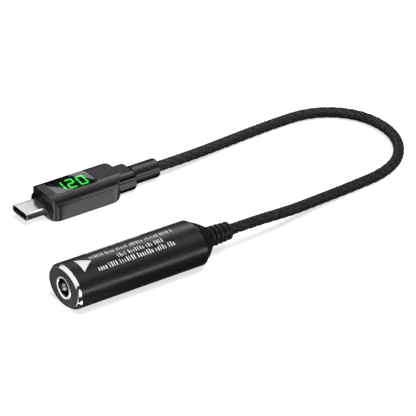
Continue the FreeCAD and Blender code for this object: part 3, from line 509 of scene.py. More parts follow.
@dataclass(frozen=True)
class Finish:
    """A surface finish; each kind adds its own nodes to the same start."""

    name: str
    colour: Colour
    roughness: float
    second: Colour | None = None
    metallic: float = 0.0
    specular: float = 0.5
    grain: float = 0.0
    grain_scale: float = 4000.0
    streaks: float = 0.0
    streak_scale: float = 3000.0
    wander: float = 0.1
    coat: float = 0.0
    coat_roughness: float = 0.1
    sheen: float = 0.0

    def build(self, library: ShaderLibrary) -> bpy.types.Material:
        """Make the material.

        Args:
            library: The shared shader groups.

        Returns:
            The node-based material.
        """
        material = bpy.data.materials.new(self.name)
        material.use_nodes = True
        graph = Graph(material.node_tree)
        shader = material.node_tree.nodes["Principled BSDF"]
        shader.inputs["Metallic"].default_value = self.metallic
        shader.inputs["Specular IOR Level"].default_value = self.specular
        shader.inputs["Coat Weight"].default_value = self.coat
        shader.inputs["Coat Roughness"].default_value = self.coat_roughness
        shader.inputs["Sheen Weight"].default_value = self.sheen
        self.surface(graph, shader, library)
        return material

    def surface(self, graph: Graph, shader: Node, library: ShaderLibrary) -> None:
        """Drive colour, roughness and relief from the shared groups."""
        vector = graph.add("ShaderNodeTexCoord").outputs["Object"]
        patches = graph.group(library.handling, Vector=vector).outputs["Patches"]
        grain = graph.group(library.grain, Vector=vector, Scale=self.grain_scale)
        streaks = graph.group(library.streaks, Vector=vector, Scale=self.streak_scale)
        varied = graph.math(
            "ADD", graph.math("MULTIPLY", grain.outputs["Mask"], 0.5), graph.math("MULTIPLY", patches, 0.5)
        )
        second = self.second or tuple(min(1.0, channel * 1.35 + 0.004) for channel in self.colour)
        graph.link(graph.mix(varied, self.colour, second), shader.inputs["Base Color"])
        spread = graph.spread(patches, self.roughness - self.wander / 2, self.roughness + self.wander / 2)
        drawn = graph.math("MULTIPLY", streaks.outputs["Mask"], self.streaks * 0.3)
        graph.link(graph.math("ADD", spread, drawn, clamp=True), shader.inputs["Roughness"])
        height = graph.math(
            "ADD", graph.math("MULTIPLY", grain.outputs["Height"], self.grain),
            graph.math("MULTIPLY", streaks.outputs["Height"], self.streaks),
        )
        graph.bump(shader, height, 0.6, 0.02 * MM)

    def vary_roughness(self, graph: Graph, shader: Node, mask: Socket) -> None:
        """Let a mask raise the roughness by up to the finish's wander."""
        rough = graph.spread(mask, self.roughness, self.roughness + self.wander)
        graph.link(rough, shader.inputs["Roughness"])


@dataclass(frozen=True)
class Glass(Finish):
    """Smoked clear plastic: plain transmission, with only its roughness varied."""

    def surface(self, graph: Graph, shader: Node, library: ShaderLibrary) -> None:
        """Smoked transmission with faint handling marks."""
        shader.inputs["Base Color"].default_value = rgba(self.colour)
        shader.inputs["Transmission Weight"].default_value = 1.0
        shader.inputs["IOR"].default_value = 1.49
        vector = graph.add("ShaderNodeTexCoord").outputs["Object"]
        handling = graph.group(library.handling, Vector=vector, Scale=200.0)
        self.vary_roughness(graph, shader, handling.outputs["Patches"])


@dataclass(frozen=True)
class Glow(Finish):
    """A lit display bar, whose colour varies with the grain of its diffuser."""

    strength: float = 4.0

    def surface(self, graph: Graph, shader: Node, library: ShaderLibrary) -> None:
        """Emission whose colour varies with the diffuser's grain."""
        vector = graph.add("ShaderNodeTexCoord").outputs["Object"]
        grain = graph.group(library.grain, Vector=vector, Scale=self.grain_scale)
        dim = tuple(channel * 0.75 for channel in self.colour)
        mixed = graph.mix(grain.outputs["Mask"], self.colour, dim)
        graph.link(mixed, shader.inputs["Base Color"])
        graph.link(mixed, shader.inputs["Emission Color"])
        shader.inputs["Emission Strength"].default_value = self.strength
        shader.inputs["Roughness"].default_value = self.roughness


@dataclass(frozen=True)
class Braid(Finish):
    """Woven yarn, with filaments that follow each yarn's UV map."""

    def surface(self, graph: Graph, shader: Node, library: ShaderLibrary) -> None:
        """Filament relief along each yarn, and a colour with a random tone along it that is lighter on the
        filament crests and darker between them: painted highlight and painted shade.
        """
        where = graph.add("ShaderNodeTexCoord")
        yarn = graph.group(library.yarn, UV=where.outputs["UV"])
        handling = graph.group(library.handling, Vector=where.outputs["Object"])
        # Lighter second colour on the filament crests, darker between them: painted highlight and painted
        # shade, with a random tone along the yarn.
        mixed = graph.mix(yarn.outputs["Mask"], self.colour, self.second or self.colour)
        graph.link(mixed, shader.inputs["Base Color"])
        self.vary_roughness(graph, shader, handling.outputs["Patches"])
        graph.bump(shader, yarn.outputs["Height"], 0.5, 0.03 * MM)


@dataclass(frozen=True)
class PrintedBoard(Finish):
    """Solder mask over copper tracks."""

    def surface(self, graph: Graph, shader: Node, library: ShaderLibrary) -> None:
        """Tracks show as lighter lines under the mask."""
        vector = graph.add("ShaderNodeTexCoord").outputs["Object"]
        tracks = graph.add(
            "ShaderNodeTexBrick", None, Vector=vector, Scale=700.0, Mortar_Size=0.08,
            Color1=rgba(self.colour), Color2=rgba(self.colour), Mortar=rgba(self.second or self.colour),
        )
        grain = graph.group(library.grain, Vector=vector, Scale=self.grain_scale)
        graph.link(tracks.outputs["Color"], shader.inputs["Base Color"])
        self.vary_roughness(graph, shader, grain.outputs["Mask"])
        graph.bump(shader, tracks.outputs["Fac"], 0.4, 0.02 * MM)


FINISHES = (
    Finish("bright_nickel", (0.80, 0.80, 0.82), 0.16, (0.86, 0.86, 0.87), 1.0, streaks=0.25, wander=0.06),
    Finish("polished_edge", (0.86, 0.87, 0.89), 0.07, (0.92, 0.92, 0.93), 1.0, streaks=0.1, wander=0.03),
    Finish("gold_plate", (0.83, 0.62, 0.27), 0.22, (0.90, 0.72, 0.38), 1.0, streaks=0.2),
    Finish("spring_steel", (0.52, 0.52, 0.54), 0.28, (0.60, 0.60, 0.62), 1.0, streaks=0.5),
    Finish("inner_black", (0.012, 0.012, 0.013), 0.45, grain=0.5),
    Finish(
        "housing_black", (0.007, 0.007, 0.0075), 0.31, (0.011, 0.011, 0.0115),
        grain=0.6, grain_scale=5200.0, wander=0.07,
    ),
    Finish("gloss_black", (0.004, 0.004, 0.0045), 0.22, (0.007, 0.007, 0.0075), grain=0.25, wander=0.07),
    Finish(
        "sleeve_black", (0.006, 0.006, 0.0065), 0.26, (0.010, 0.010, 0.0105),
        grain=0.2, streaks=0.3, wander=0.06,
    ),
    Finish(
        "anodised_black", (0.006, 0.006, 0.0065), 0.27, (0.009, 0.009, 0.0095),
        grain=0.3, streaks=0.5, wander=0.05,
    ),
    Finish("face_black", (0.028, 0.028, 0.029), 0.55, (0.038, 0.038, 0.039), grain=1.0, grain_scale=6000.0),
    Finish("relief_rubber", (0.005, 0.005, 0.005), 0.45, (0.010, 0.010, 0.010), grain=0.8, wander=0.12),
    Finish("print_white", (0.62, 0.62, 0.62), 0.55, (0.70, 0.70, 0.70), grain=0.7, grain_scale=9000.0),
    Glass("smoked_window", (0.34, 0.37, 0.40), 0.02, wander=0.02),
    Finish("display_black", (0.010, 0.011, 0.012), 0.40, grain=0.3),
    Glow("lit_green", (0.03, 1.0, 0.07), 0.4, grain_scale=3000.0),
    Finish("unlit_green", (0.012, 0.026, 0.015), 0.45, grain=0.3),
    # The braid's lighter second colour goes on the filament crests as a painted highlight, with painted shade
    # between the filaments.
    Braid("braid_black", (0.004, 0.004, 0.0045), 0.38, (0.016, 0.016, 0.0165), wander=0.15, sheen=0.04),
    PrintedBoard("circuit_green", (0.010, 0.085, 0.040), 0.30, (0.030, 0.160, 0.075)),
    Finish("chip_black", (0.020, 0.020, 0.021), 0.50, grain=0.9),
    Finish("ceramic_tan", (0.36, 0.25, 0.14), 0.45, grain=0.6),
    Finish("capacitor_can", (0.70, 0.70, 0.72), 0.25, metallic=1.0, streaks=0.3),
    Finish("wire_red", (0.42, 0.02, 0.015), 0.38, grain=0.3),
)


class Wardrobe:
    """All the object's materials, by name."""

    def __init__(self) -> None:
        """Build every finish once."""
        library = ShaderLibrary()
        self.materials = {finish.name: finish.build(library) for finish in FINISHES}

    def __getitem__(self, name: str) -> bpy.types.Material:
        """The material of that name."""
        return self.materials[name]

    def dress(self, node: str, finish: str) -> None:
        """Give a carried-over CAD node its finish."""
        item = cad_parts[node]
        item.data.materials.clear()
        item.data.materials.append(self[finish])


@dataclass
class SubAssembly:
    """A group of the object's pieces, all dressed from one wardrobe."""

    wardrobe: Wardrobe

    def piece(self, name: str, bm: BMesh, finish: str) -> bpy.types.Object:
        """Make a piece in one finish."""
        return new_object(name, bm, [self.wardrobe[finish]])

    def finished(self, name: str, bm: BMesh, finish: str, slot: str, *nodes: str) -> None:
        """Make a piece and fit it out in place of the CAD nodes it stands for."""
        fit_out(self.piece(name, bm, finish), nodes)


# ---------------------------------------------------------------- the plug


@dataclass
class UsbPlug(SubAssembly):
    """The metal shell of the USB-C plug and the grooved collar behind it."""

    wall: float = 0.25 * MM
    flat: float = 0.1 * MM
    lip: float = 0.07 * MM
    groove_depth: float = 0.16 * MM
    groove_width: float = 0.09 * MM
    ring_length: float = 0.27 * MM
    ring_step: float = 0.5 * MM
    ring_round: float = 0.035 * MM
    shell_room: float = 0.02 * MM
    rings: int = 3
    corner_steps: int = 12

    def build(self) -> None:
        """Make the shell and the collar."""
        self.build_shell()
        self.build_collar()

    def build_shell(self) -> None:
        """A drawn tube with a rolled lip at its mouth."""
        place = Place.of("usb_shell")
        half = place.half
        corner = half[1] - self.flat
        start = place.front
        bm = bmesh.new()
        edges = ring(bm, Outline.ROUNDED, start, half, corner, self.corner_steps)
        stations = [(place.high.x, 0), (place.high.x, self.wall), (place.low.x, self.wall), (place.low.x, 0)]
        walls(bm, edges, start, half, stations)
        soften(bm, self.lip, 3)
        self.finished("usb_shell_drawn", bm, "bright_nickel", "plug_metal", "usb_shell")

    def build_collar(self) -> None:
        """Stepped rings round the shell, each wider than the one in front, with rounded rims."""
        place = Place.of("plug_collar")
        shell = Place.of("usb_shell")
        full_step = (self.rings - 1) * self.ring_step
        half = (place.size.y / 2 - full_step, place.size.z / 2 - full_step)
        start = place.front
        bore = half[1] - shell.size.z / 2 - self.shell_room
        face = Place.of("plug_housing").low.x
        bm = bmesh.new()
        edges = ring(bm, Outline.ROUNDED, start, half, half[1] - self.flat, self.corner_steps)
        stations = []
        for index in range(1, self.rings):
            x = place.low.x + index * self.ring_length
            groove_start = x - self.groove_width
            groove = self.groove_depth - (index - 1) * self.ring_step
            stations += [(groove_start, -(index - 1) * self.ring_step), (groove_start, groove)]
            stations += [(x, groove), (x, -index * self.ring_step)]
        stations += [(face, -full_step), (face, 0.0), (place.high.x, 0), (place.high.x, bore)]
        stations += [(place.low.x, bore), (place.low.x, 0)]
        walls(bm, edges, start, half, stations)
        soften(bm, self.ring_round, 3)
        self.finished("plug_collar_rings", bm, "gloss_black", "neck_black", "plug_collar")


@dataclass
class MeterHousing(SubAssembly):
    """The plug's case: lower shell, crowned cover, window and display."""

    wall: float = 1.0 * MM
    floor: float = 0.8 * MM
    front_corner: float = 2.8 * MM
    rear_corner: float = 5.0 * MM
    foot: float = 0.6 * MM
    crown_radius: float = 3.9 * MM
    crown_spread: float = 0.1 * MM
    rim_round: float = 0.28 * MM
    rim_margin: float = 1.6 * MM
    crease_round: float = 0.07 * MM
    room: float = 0.04 * MM
    spigot: Point = (6.0 * MM, 4.2 * MM)
    collar_root: Point = (9.2 * MM, 3.4 * MM)
    window_corner: float = 1.5 * MM
    window_edge: float = 0.08 * MM
    digit_height: float = 5.2 * MM
    digit_width: float = 2.7 * MM
    digit_pitch: float = 3.9 * MM
    bar_width: float = 0.46 * MM
    bar_gap: float = 0.12 * MM
    slant: float = 0.12
    lit: tuple[str, ...] = ("bc", "abged", "abcdef")

    def build(self) -> None:
        """Make every visible piece of the housing."""
        self.build_case()
        self.build_cover()
        self.build_window()
        self.build_digits()

    def outline(self, bm: BMesh, inset: float, low: float, high: float) -> None:
        """Add a prism with the housing's outline, inset all round, between two heights."""
        place = Place.of("plug_housing")
        at = Vector((place.middle.x, place.middle.y, low))
        size = Vector((place.size.x - 2 * inset, place.size.y - 2 * inset, high - low))
        corners = (self.front_corner - inset, self.rear_corner - inset)
        slab(bm, at, size, corners, 14)

    def build_case(self) -> None:
        """The open lower shell, with its openings for the collar and the neck."""
        place = Place.of("plug_housing")
        bm = bmesh.new()
        self.outline(bm, 0, place.low.z, place.high.z)
        bmesh.ops.recalc_face_normals(bm, faces=bm.faces)
        low = [edge for edge in bm.edges if all(abs(vert.co.z - place.low.z) < 1e-7 for vert in edge.verts)]
        bevel(bm, low, self.foot, 5)
        soften(bm, self.crease_round / 2, 2, 50)
        item = self.piece("plug_case", bm, "housing_black")
        hollow = bmesh.new()
        self.outline(hollow, self.wall, place.low.z + self.floor, place.high.z + OVER)
        carve(item, hollow)
        self.carve_openings(item)
        fit_out(item, ("plug_housing",))

    def carve_openings(self, item: bpy.types.Object) -> None:
        """Cut the openings for the collar's root and the neck's spigot."""
        place = Place.of("plug_housing")
        shell, neck = Place.of("usb_shell"), Place.of("neck")
        collar = tuple(extent / 2 + self.room for extent in self.collar_root)
        spigot = tuple(extent / 2 + self.room for extent in self.spigot)
        start = Vector((place.low.x - OVER, shell.middle.y, shell.middle.z))
        carve(item, self.opening(start, collar, 3 * MM))
        start = Vector((place.high.x - self.rear_corner, neck.middle.y, neck.middle.z))
        carve(item, self.opening(start, spigot, self.rear_corner + OVER))

    @staticmethod
    def opening(start: Vector, half: Point, length: float) -> BMesh:
        """A cutter along X with a rounded outline."""
        return bar(Outline.ROUNDED, start, half, half[1] - END_FLAT, 10, start.x + length)

    def crown(self, inset: float) -> BMesh:
        """The bar whose rounded long edges give the cover its crown."""
        place = Place.of("plug_cover")
        radius = self.crown_radius - inset
        depth = 2 * self.crown_radius + OVER
        half = (place.size.y / 2 + self.crown_spread - inset, depth / 2)
        start = Vector((place.low.x - OVER, place.middle.y, place.high.z - inset - depth / 2))
        return bar(Outline.ROUNDED, start, half, radius, 20, place.high.x + OVER)

    def build_cover(self) -> None:
        """The lid: flat under the window, turning over on both sides to a crease above the flat walls."""
        place = Place.of("plug_cover")
        bm = bmesh.new()
        self.outline(bm, 0, place.low.z, place.high.z + OVER)
        item = self.piece("plug_cover_crowned", bm, "housing_black")
        carve(item, self.crown(0), "INTERSECT")
        bm = bmesh.new()
        bm.from_mesh(item.data)
        self.round_rims(bm, place)
        bm.to_mesh(item.data)
        bm.free()
        hollow = new_object("cover_hollow", self.hollow(place), [])
        carve(hollow, self.crown(self.wall), "INTERSECT")
        hollow_mesh = bmesh.new()
        hollow_mesh.from_mesh(hollow.data)
        bpy.data.objects.remove(hollow)
        carve(item, hollow_mesh)
        carve(item, self.window_opening(place))
        self.carve_openings(item)
        fit_out(item, ("plug_cover",))

    def round_rims(self, bm: BMesh, place: Place) -> None:
        """Round the lid's front and rear rims."""
        bmesh.ops.remove_doubles(bm, verts=bm.verts, dist=2e-6)
        bmesh.ops.dissolve_limit(bm, angle_limit=math.radians(0.5), verts=bm.verts, edges=bm.edges)
        bmesh.ops.recalc_face_normals(bm, faces=bm.faces)
        limit = math.radians(30)
        sharp = [edge for edge in bm.edges if len(edge.link_faces) == 2 and edge.calc_face_angle(0) > limit]
        half = place.size.y / 2
        rim = [
            edge for edge in sharp
            if all(vert.co.z > place.high.z - self.crown_radius / 2 for vert in edge.verts)
            and any(abs(vert.co.y - place.middle.y) < half - self.rim_margin for vert in edge.verts)
        ]
        bevel(bm, rim, self.rim_round, 4, clamp=True)
        bmesh.ops.recalc_face_normals(bm, faces=bm.faces)

    def hollow(self, place: Place) -> BMesh:
        """The outline of the space under the lid."""
        bm = bmesh.new()
        self.outline(bm, self.wall, place.low.z - OVER, place.high.z + OVER)
        return bm

    def window_opening(self, place: Place) -> BMesh:
        """The cutter for the window's opening."""
        window = Place.of("display_window")
        bm = bmesh.new()
        room = 2 * self.room
        size = Vector((window.size.x + room, window.size.y + room, place.size.z + 2 * MM))
        at = Vector((window.middle.x, window.middle.y, place.low.z - OVER))
        slab(bm, at, size, (self.window_corner,) * 2, 8)
        return bm

    def build_window(self) -> None:
        """The smoked window, with its edge eased."""
        place = Place.of("display_window")
        bm = bmesh.new()
        at = Vector((place.middle.x, place.middle.y, place.low.z))
        slab(bm, at, place.size, (self.window_corner,) * 2, 10)
        soften(bm, self.window_edge, 3)
        self.finished("smoked_window_pane", bm, "smoked_window", "smoked_glass", "display_window")

    def build_digits(self) -> None:
        """The bars of the three digits, lit and unlit, with pointed ends and a slight slant."""
        window = Place.of("display_window")
        bars = Place.of("display_segments_lit")
        lit, dark = bmesh.new(), bmesh.new()
        for digit, pattern in enumerate(self.lit):
            x = window.middle.x + (digit - 1) * self.digit_pitch
            centre = Vector((x, window.middle.y, bars.middle.z))
            for letter in "abcdefg":
                self.add_bar(lit if letter in pattern else dark, letter, centre, bars.size.z)
        for bm, name, finish, slot, node in (
            (lit, "digit_bars_lit", "lit_green", "lit_segment", "display_segments_lit"),
            (dark, "digit_bars_dark", "unlit_green", "dark_segment", "display_segments_dark"),
        ):
            self.finished(name, bm, finish, slot, node)

    def add_bar(self, bm: BMesh, letter: str, centre: Vector, thick: float) -> None:
        """Add one bar of a digit: a hexagon drawn from a bevelled plate, then slanted."""
        across, up, upright = {
            "a": (0, 1, False), "b": (1, 0.5, True), "c": (1, -0.5, True), "d": (0, -1, False),
            "e": (-1, -0.5, True), "f": (-1, 0.5, True), "g": (0, 0, False),
        }[letter]
        wide = self.bar_width
        long = ((self.digit_height if upright else 2 * self.digit_width) - wide) / 2 - self.bar_gap
        size = Vector((wide, long, thick)) if upright else Vector((long, wide, thick))
        x = across * (self.digit_width - wide) / 2
        y = up * (self.digit_height - wide) / 2
        low = centre + Vector((x, y, -thick / 2))
        verts = slab(bm, low, size, (wide * 0.48,) * 2, 1)
        shear = Matrix.Identity(4)
        shear[0][1] = self.slant
        space = Matrix.Translation(-centre)
        bmesh.ops.transform(bm, matrix=shear, space=space, verts=verts)


@dataclass
class Neck(SubAssembly):
    """The oval neck, fitted to the housing's round rear end, and the round sleeve behind it."""

    housing: MeterHousing
    corner: float = 2.7 * MM
    flange: float = 0.88 * MM
    flange_lip: float = 0.35 * MM
    bore: float = 1.79 * MM
    shoulder: float = 0.7 * MM
    root_reach: float = 1.6 * MM
    sleeve_round: float = 0.45 * MM
    sleeve_root: float = 0.3 * MM
    root_length: float = 0.4 * MM
    fit: float = 0.01 * MM

    def build(self) -> None:
        """Make the neck and the sleeve."""
        self.build_neck()
        self.build_sleeve()

    def build_neck(self) -> None:
        """A short oval body with a rounded rear edge, cut to the housing, with its spigot and flange."""
        place = Place.of("neck")
        housing = Place.of("plug_housing")
        half = place.half
        root = housing.high.x - self.root_reach
        start = Vector((root, place.middle.y, place.middle.z))
        bm = bmesh.new()
        edges = ring(bm, Outline.ROUNDED, start, half, self.corner, 12)
        close_end(bm, edges)
        stations = [(place.high.x - left, inset) for left, inset in quarter(self.shoulder, 6)]
        close_end(bm, walls(bm, edges, start, half, stations))
        item = self.piece("neck_moulding", bm, "gloss_black")
        outside = bmesh.new()
        lid = Place.of("plug_cover")
        self.housing.outline(outside, -self.fit, housing.low.z - OVER, lid.high.z + OVER)
        carve(item, outside)
        carve(item, self.spigot(place, housing), "UNION")
        bm = bmesh.new()
        low, high = place.low.x - OVER, place.high.x + OVER
        spun(bm, start, [(low, 0), (low, self.bore), (high, self.bore), (high, 0)], 48)
        carve(item, bm)
        fit_out(item, ("neck",))

    def spigot(self, place: Place, housing: Place) -> BMesh:
        """The spigot through the housing's wall and the flange inside it."""
        half = tuple(extent / 2 for extent in self.housing.spigot)
        start = place.front
        bm = bmesh.new()
        lip = -self.flange_lip
        edges = ring(bm, Outline.ROUNDED, start, half, half[1] - END_FLAT, 12)
        close_end(bm, edges)
        stations = [(start.x, lip), (start.x + self.flange, lip), (start.x + self.flange, 0)]
        close_end(bm, walls(bm, edges, start, half, [*stations, (housing.high.x + 0.5 * MM, 0)]))
        bmesh.ops.remove_doubles(bm, verts=bm.verts, dist=1e-7)
        bmesh.ops.recalc_face_normals(bm, faces=bm.faces)
        return bm

    def build_sleeve(self) -> None:
        """A turned sleeve: a narrow root, a straight barrel and a rounded end."""
        place = Place.of("neck_sleeve")
        radius = place.size.z / 2
        start, end = place.low.x, place.high.x
        root = radius - self.sleeve_root
        step = start + self.root_length
        profile = [(start, self.bore), (start, root), (step, root)]
        profile += [(step + 0.02 * MM, radius - 0.08 * MM), (step + 0.1 * MM, radius)]
        profile += [(end - left, radius - inset) for left, inset in quarter(self.sleeve_round, 5)]
        profile += [(end, self.bore), (start, self.bore)]
        bm = bmesh.new()
        spun(bm, Vector((start, place.middle.y, place.middle.z)), profile, 72)
        self.finished("cable_sleeve", bm, "sleeve_black", "sleeve_black", "neck_sleeve")


# ---------------------------------------------------------------- the socket


@dataclass
class DcSocket(SubAssembly):
    """The oval socket: tube, face plate, jack ring, pin, print, rear cone and strain relief."""

    wall: float = 0.9 * MM
    chamfer_width: float = 0.8 * MM
    chamfer_depth: float = 1.1 * MM
    steps: int = 128
    cable_bore: float = 1.79 * MM
    ribs: int = 5
    rib_width: float = 0.95 * MM
    rib_drop: float = 0.1 * MM
    relief_core: float = 2.4 * MM
    cone_end: Point = (3.25 * MM, 3.2 * MM)
    cone_bulge: float = 0.35 * MM
    cone_round: float = 0.12 * MM
    spigot_room: float = 0.04 * MM
    rim: float = 0.2 * MM
    lip_round: float = 0.05 * MM
    face_round: float = 0.06 * MM
    ring_hole: float = 3.74 * MM
    ring_outer: float = 3.7 * MM
    ring_bore: float = 2.8 * MM
    ring_edge: float = 0.12 * MM
    ring_flange: float = 0.6 * MM
    jack_depth: float = 9.2 * MM
    pin_nose: float = 0.5 * MM
    pin_shank: float = 0.7 * MM
    # Each printed row's place across the tube, and where it begins and ends along it, in millimetres.
    rows: tuple[Triple, ...] = (
        (4.2, 10.4, 29.3), (0.3, 9.2, 38.2), (-2.5, 16.9, 33.0), (-4.6, 9.0, 35.4),
    )
    triangle: tuple[Point, ...] = ((4.7, 1.8), (4.6, -4.2), (8.9, -1.0))
    letter_height: float = 1.5 * MM
    letter_pitch: float = 0.8 * MM
    triangle_cuts: int = 18
    ink: float = 0.012 * MM

    def build(self) -> None:
        """Make every visible piece of the socket."""
        self.build_shell()
        self.build_face()
        self.build_ring()
        self.build_pin()
        self.build_print()
        self.build_cone()
        self.build_relief()

    def build_shell(self) -> None:
        """The tube, with a polished chamfer at its mouth and an eased rear rim."""
        place = Place.of("socket_shell")
        half = (place.size.y / 2 - self.ink, place.size.z / 2 - self.ink)
        start = Vector((place.low.x + self.chamfer_depth, place.middle.y, place.middle.z))
        bm = bmesh.new()
        edges = ring(bm, Outline.OVAL, start, half, 0, self.steps)
        stations = [
            (place.high.x - self.rim, 0), (place.high.x, self.rim), (place.high.x, self.wall),
            (place.low.x, self.wall), (place.low.x, self.chamfer_width), (start.x, 0),
        ]
        walls(bm, edges, start, half, stations)
        soften(bm, self.lip_round, 2, 20)
        finishes = [self.wardrobe["anodised_black"], self.wardrobe["polished_edge"]]
        item = new_object("socket_tube", bm, finishes)
        for face in item.data.polygons:
            middle = face.center
            on_chamfer = middle.x < start.x - 0.03 * MM and face.normal.x < -0.2
            face.material_index = 1 if on_chamfer else 0
        fit_out(item, ("socket_shell",))

    def build_face(self) -> None:
        """The face plate, with an eased rim and a round hole for the jack's ring."""
        place = Place.of("socket_face")
        bm = bar(Outline.OVAL, place.front, place.half, 0, self.steps, place.high.x)
        soften(bm, self.face_round, 2)
        item = self.piece("socket_face_plate", bm, "face_black")
        jack = Place.of("jack_ring").middle
        hole = Vector((place.low.x - OVER, jack.y, jack.z))
        carve(item, bar(Outline.OVAL, hole, (self.ring_hole,) * 2, 0, self.steps, place.high.x + OVER))
        fit_out(item, ("socket_face",))

    def build_ring(self) -> None:
        """The jack's bright ring, with a rounded outer edge and a bevel into its bore."""
        place = Place.of("jack_ring")
        x, end, outer, bore, edge = place.low.x, place.high.x, self.ring_outer, self.ring_bore, self.ring_edge
        profile = [
            (x + edge, bore), (x, bore + edge), (x, outer - edge), (x + edge / 3, outer - edge / 3),
            (x + edge, outer), (end - self.ring_flange, outer), (end - self.ring_flange, place.size.z / 2),
            (end, place.size.z / 2), (end, bore), (x + edge, bore),
        ]
        bm = bmesh.new()
        spun(bm, place.front, profile, 96)
        self.finished("jack_ring_turned", bm, "bright_nickel", "plug_metal", "jack_ring")

    def build_pin(self) -> None:
        """The centre pin with a rounded nose."""
        place = Place.of("jack_pin")
        floor = Place.of("jack_body").low.x + self.jack_depth
        start, end, radius = place.low.x, place.high.x, place.size.z / 2
        nose = [(start + along, radius - left) for left, along in quarter(self.pin_nose, 6)[1:]]
        shank = [(floor, radius), (floor, self.pin_shank), (end, self.pin_shank), (end, 0.0)]
        profile = [(start, 0.0), *nose, *shank]
        bm = bmesh.new()
        spun(bm, place.front, profile, 48)
        self.finished("jack_centre_pin", bm, "bright_nickel", "plug_metal", "jack_pin")

    def build_print(self) -> None:
        """The white print: a triangle that points towards the cable, and rows of plain blank blocks."""
        rng = random.Random(11)
        bm = bmesh.new()
        for offset, first, last in self.rows:
            x = first * MM
            while x < last * MM - self.letter_pitch:
                count = min(rng.randint(3, 7), int((last * MM - x) / self.letter_pitch))
                for _ in range(count):
                    wide = self.letter_pitch * rng.choice((0.3, 0.42, 0.5))
                    tall = self.letter_height * rng.choice((0.7, 1.0, 1.0))
                    at = (x + wide / 2, offset * MM - (self.letter_height - tall) / 2, 0)
                    matrix = Matrix.Translation(at) @ Matrix.Diagonal((wide / 2, tall / 2, 1, 1))
                    bmesh.ops.create_grid(bm, x_segments=1, y_segments=3, size=1, matrix=matrix)
                    x += self.letter_pitch
                x += self.letter_pitch * 0.6
        self.add_triangle(bm)
        self.wrap(bm)
        self.finished("socket_print", bm, "print_white", "face_plastic")

    def add_triangle(self, bm: BMesh) -> None:
        """Add the triangle, cut across many times so that it can follow the tube."""
        before = set(bm.faces)
        verts = [bmesh.ops.create_vert(bm, co=(x * MM, y * MM, 0))["vert"][0] for x, y in self.triangle]
        bmesh.ops.contextual_create(bm, geom=verts)
        high, low = self.triangle[0][1], self.triangle[1][1]
        for step in range(1, self.triangle_cuts):
            y = (low + (high - low) * step / self.triangle_cuts) * MM
            faces = [item for item in bm.faces if item not in before]
            parts = list(dict.fromkeys(part for item in faces for part in (item, *item.edges, *item.verts)))
            bmesh.ops.bisect_plane(bm, geom=parts, plane_co=(0, y, 0), plane_no=(0, 1, 0), dist=1e-9)

    def wrap(self, bm: BMesh) -> None:
        """Curve the flat print round the tube, the ink's thickness clear of its outside."""
        shell = Place.of("socket_shell")
        half_y, half_z = shell.size.y / 2 - self.ink, shell.size.z / 2 - self.ink
        for vert in bm.verts:
            share = vert.co.y / half_y
            height = half_z * math.sqrt(1 - share * share) + self.ink
            vert.co = shell.front + Vector((vert.co.x, vert.co.y, height))
        for face in bm.faces:
            face.normal_update()
            if face.normal.z < 0:
                face.normal_flip()

    def build_cone(self) -> None:
        """The cap that closes the tube and narrows to the relief, with eased edges."""
        place = Place.of("rear_cone")
        shell = Place.of("socket_shell")
        half = place.half
        rim = shell.high.x
        centre = Vector((rim, place.middle.y, place.middle.z))
        bm = bmesh.new()
        edges = ring(bm, Outline.OVAL, centre, half, 0, self.steps)
        steps, current = 10, half
        for step in range(1, steps + 1):
            share = step / steps
            bulge = self.cone_bulge * math.sin(math.pi * share)
            target = tuple(a + (b - a) * share + bulge for a, b in zip(half, self.cone_end))
            x = rim + (place.high.x - rim) * share
            edges, current = self.step_to(bm, edges, centre, current, target, x)
        bore = (self.cable_bore, self.cable_bore)
        spigot = tuple(extent - self.wall - self.spigot_room for extent in shell.half)
        low, high = place.low.x, place.high.x
        for x, target in ((high, bore), (low, bore), (low, spigot), (rim, spigot), (rim, half)):
            edges, current = self.step_to(bm, edges, centre, current, target, x)
        soften(bm, self.cone_round, 3, 30)
        self.finished("rear_cone_cap", bm, "gloss_black", "neck_black", "rear_cone")

    @staticmethod
    def step_to(
        bm: BMesh, edges: list, centre: Vector, half: Point, target: Point, x: float
    ) -> tuple[list, Point]:
        """Extrude a loop to a new place and half size; return its edges and that half size."""
        verts, edges = extruded(bm, edges)
        factor = Vector((1, target[0] / half[0], target[1] / half[1]))
        bmesh.ops.scale(bm, vec=factor, space=Matrix.Translation(-centre), verts=verts)
        bmesh.ops.translate(bm, vec=AXIS * (x - verts[0].co.x), verts=verts)
        return edges, target

    def build_relief(self) -> None:
        """The rubber relief: rounded ribs that shrink towards the cable."""
        place = Place.of("strain_relief")
        core = self.relief_core
        profile = [(place.low.x, self.cable_bore), (place.low.x, core)]
        pitch = (place.size.x - self.rib_width) / (self.ribs - 1)
        for index in range(self.ribs):
            begin = place.low.x + index * pitch
            top = place.size.z / 2 - index * self.rib_drop
            for step in range(9):
                angle = math.pi * step / 8
                x = begin + self.rib_width / 2 * (1 - math.cos(angle))
                profile.append((x, core + (top - core) * math.sin(angle) ** 0.5))
        profile += [(place.high.x, core), (place.high.x, self.cable_bore), (place.low.x, self.cable_bore)]
        bm = bmesh.new()
        spun(bm, place.front, profile, 64)
        self.finished("strain_relief_ribbed", bm, "relief_rubber", "relief_rubber", "strain_relief")


# ---------------------------------------------------------------- the cable


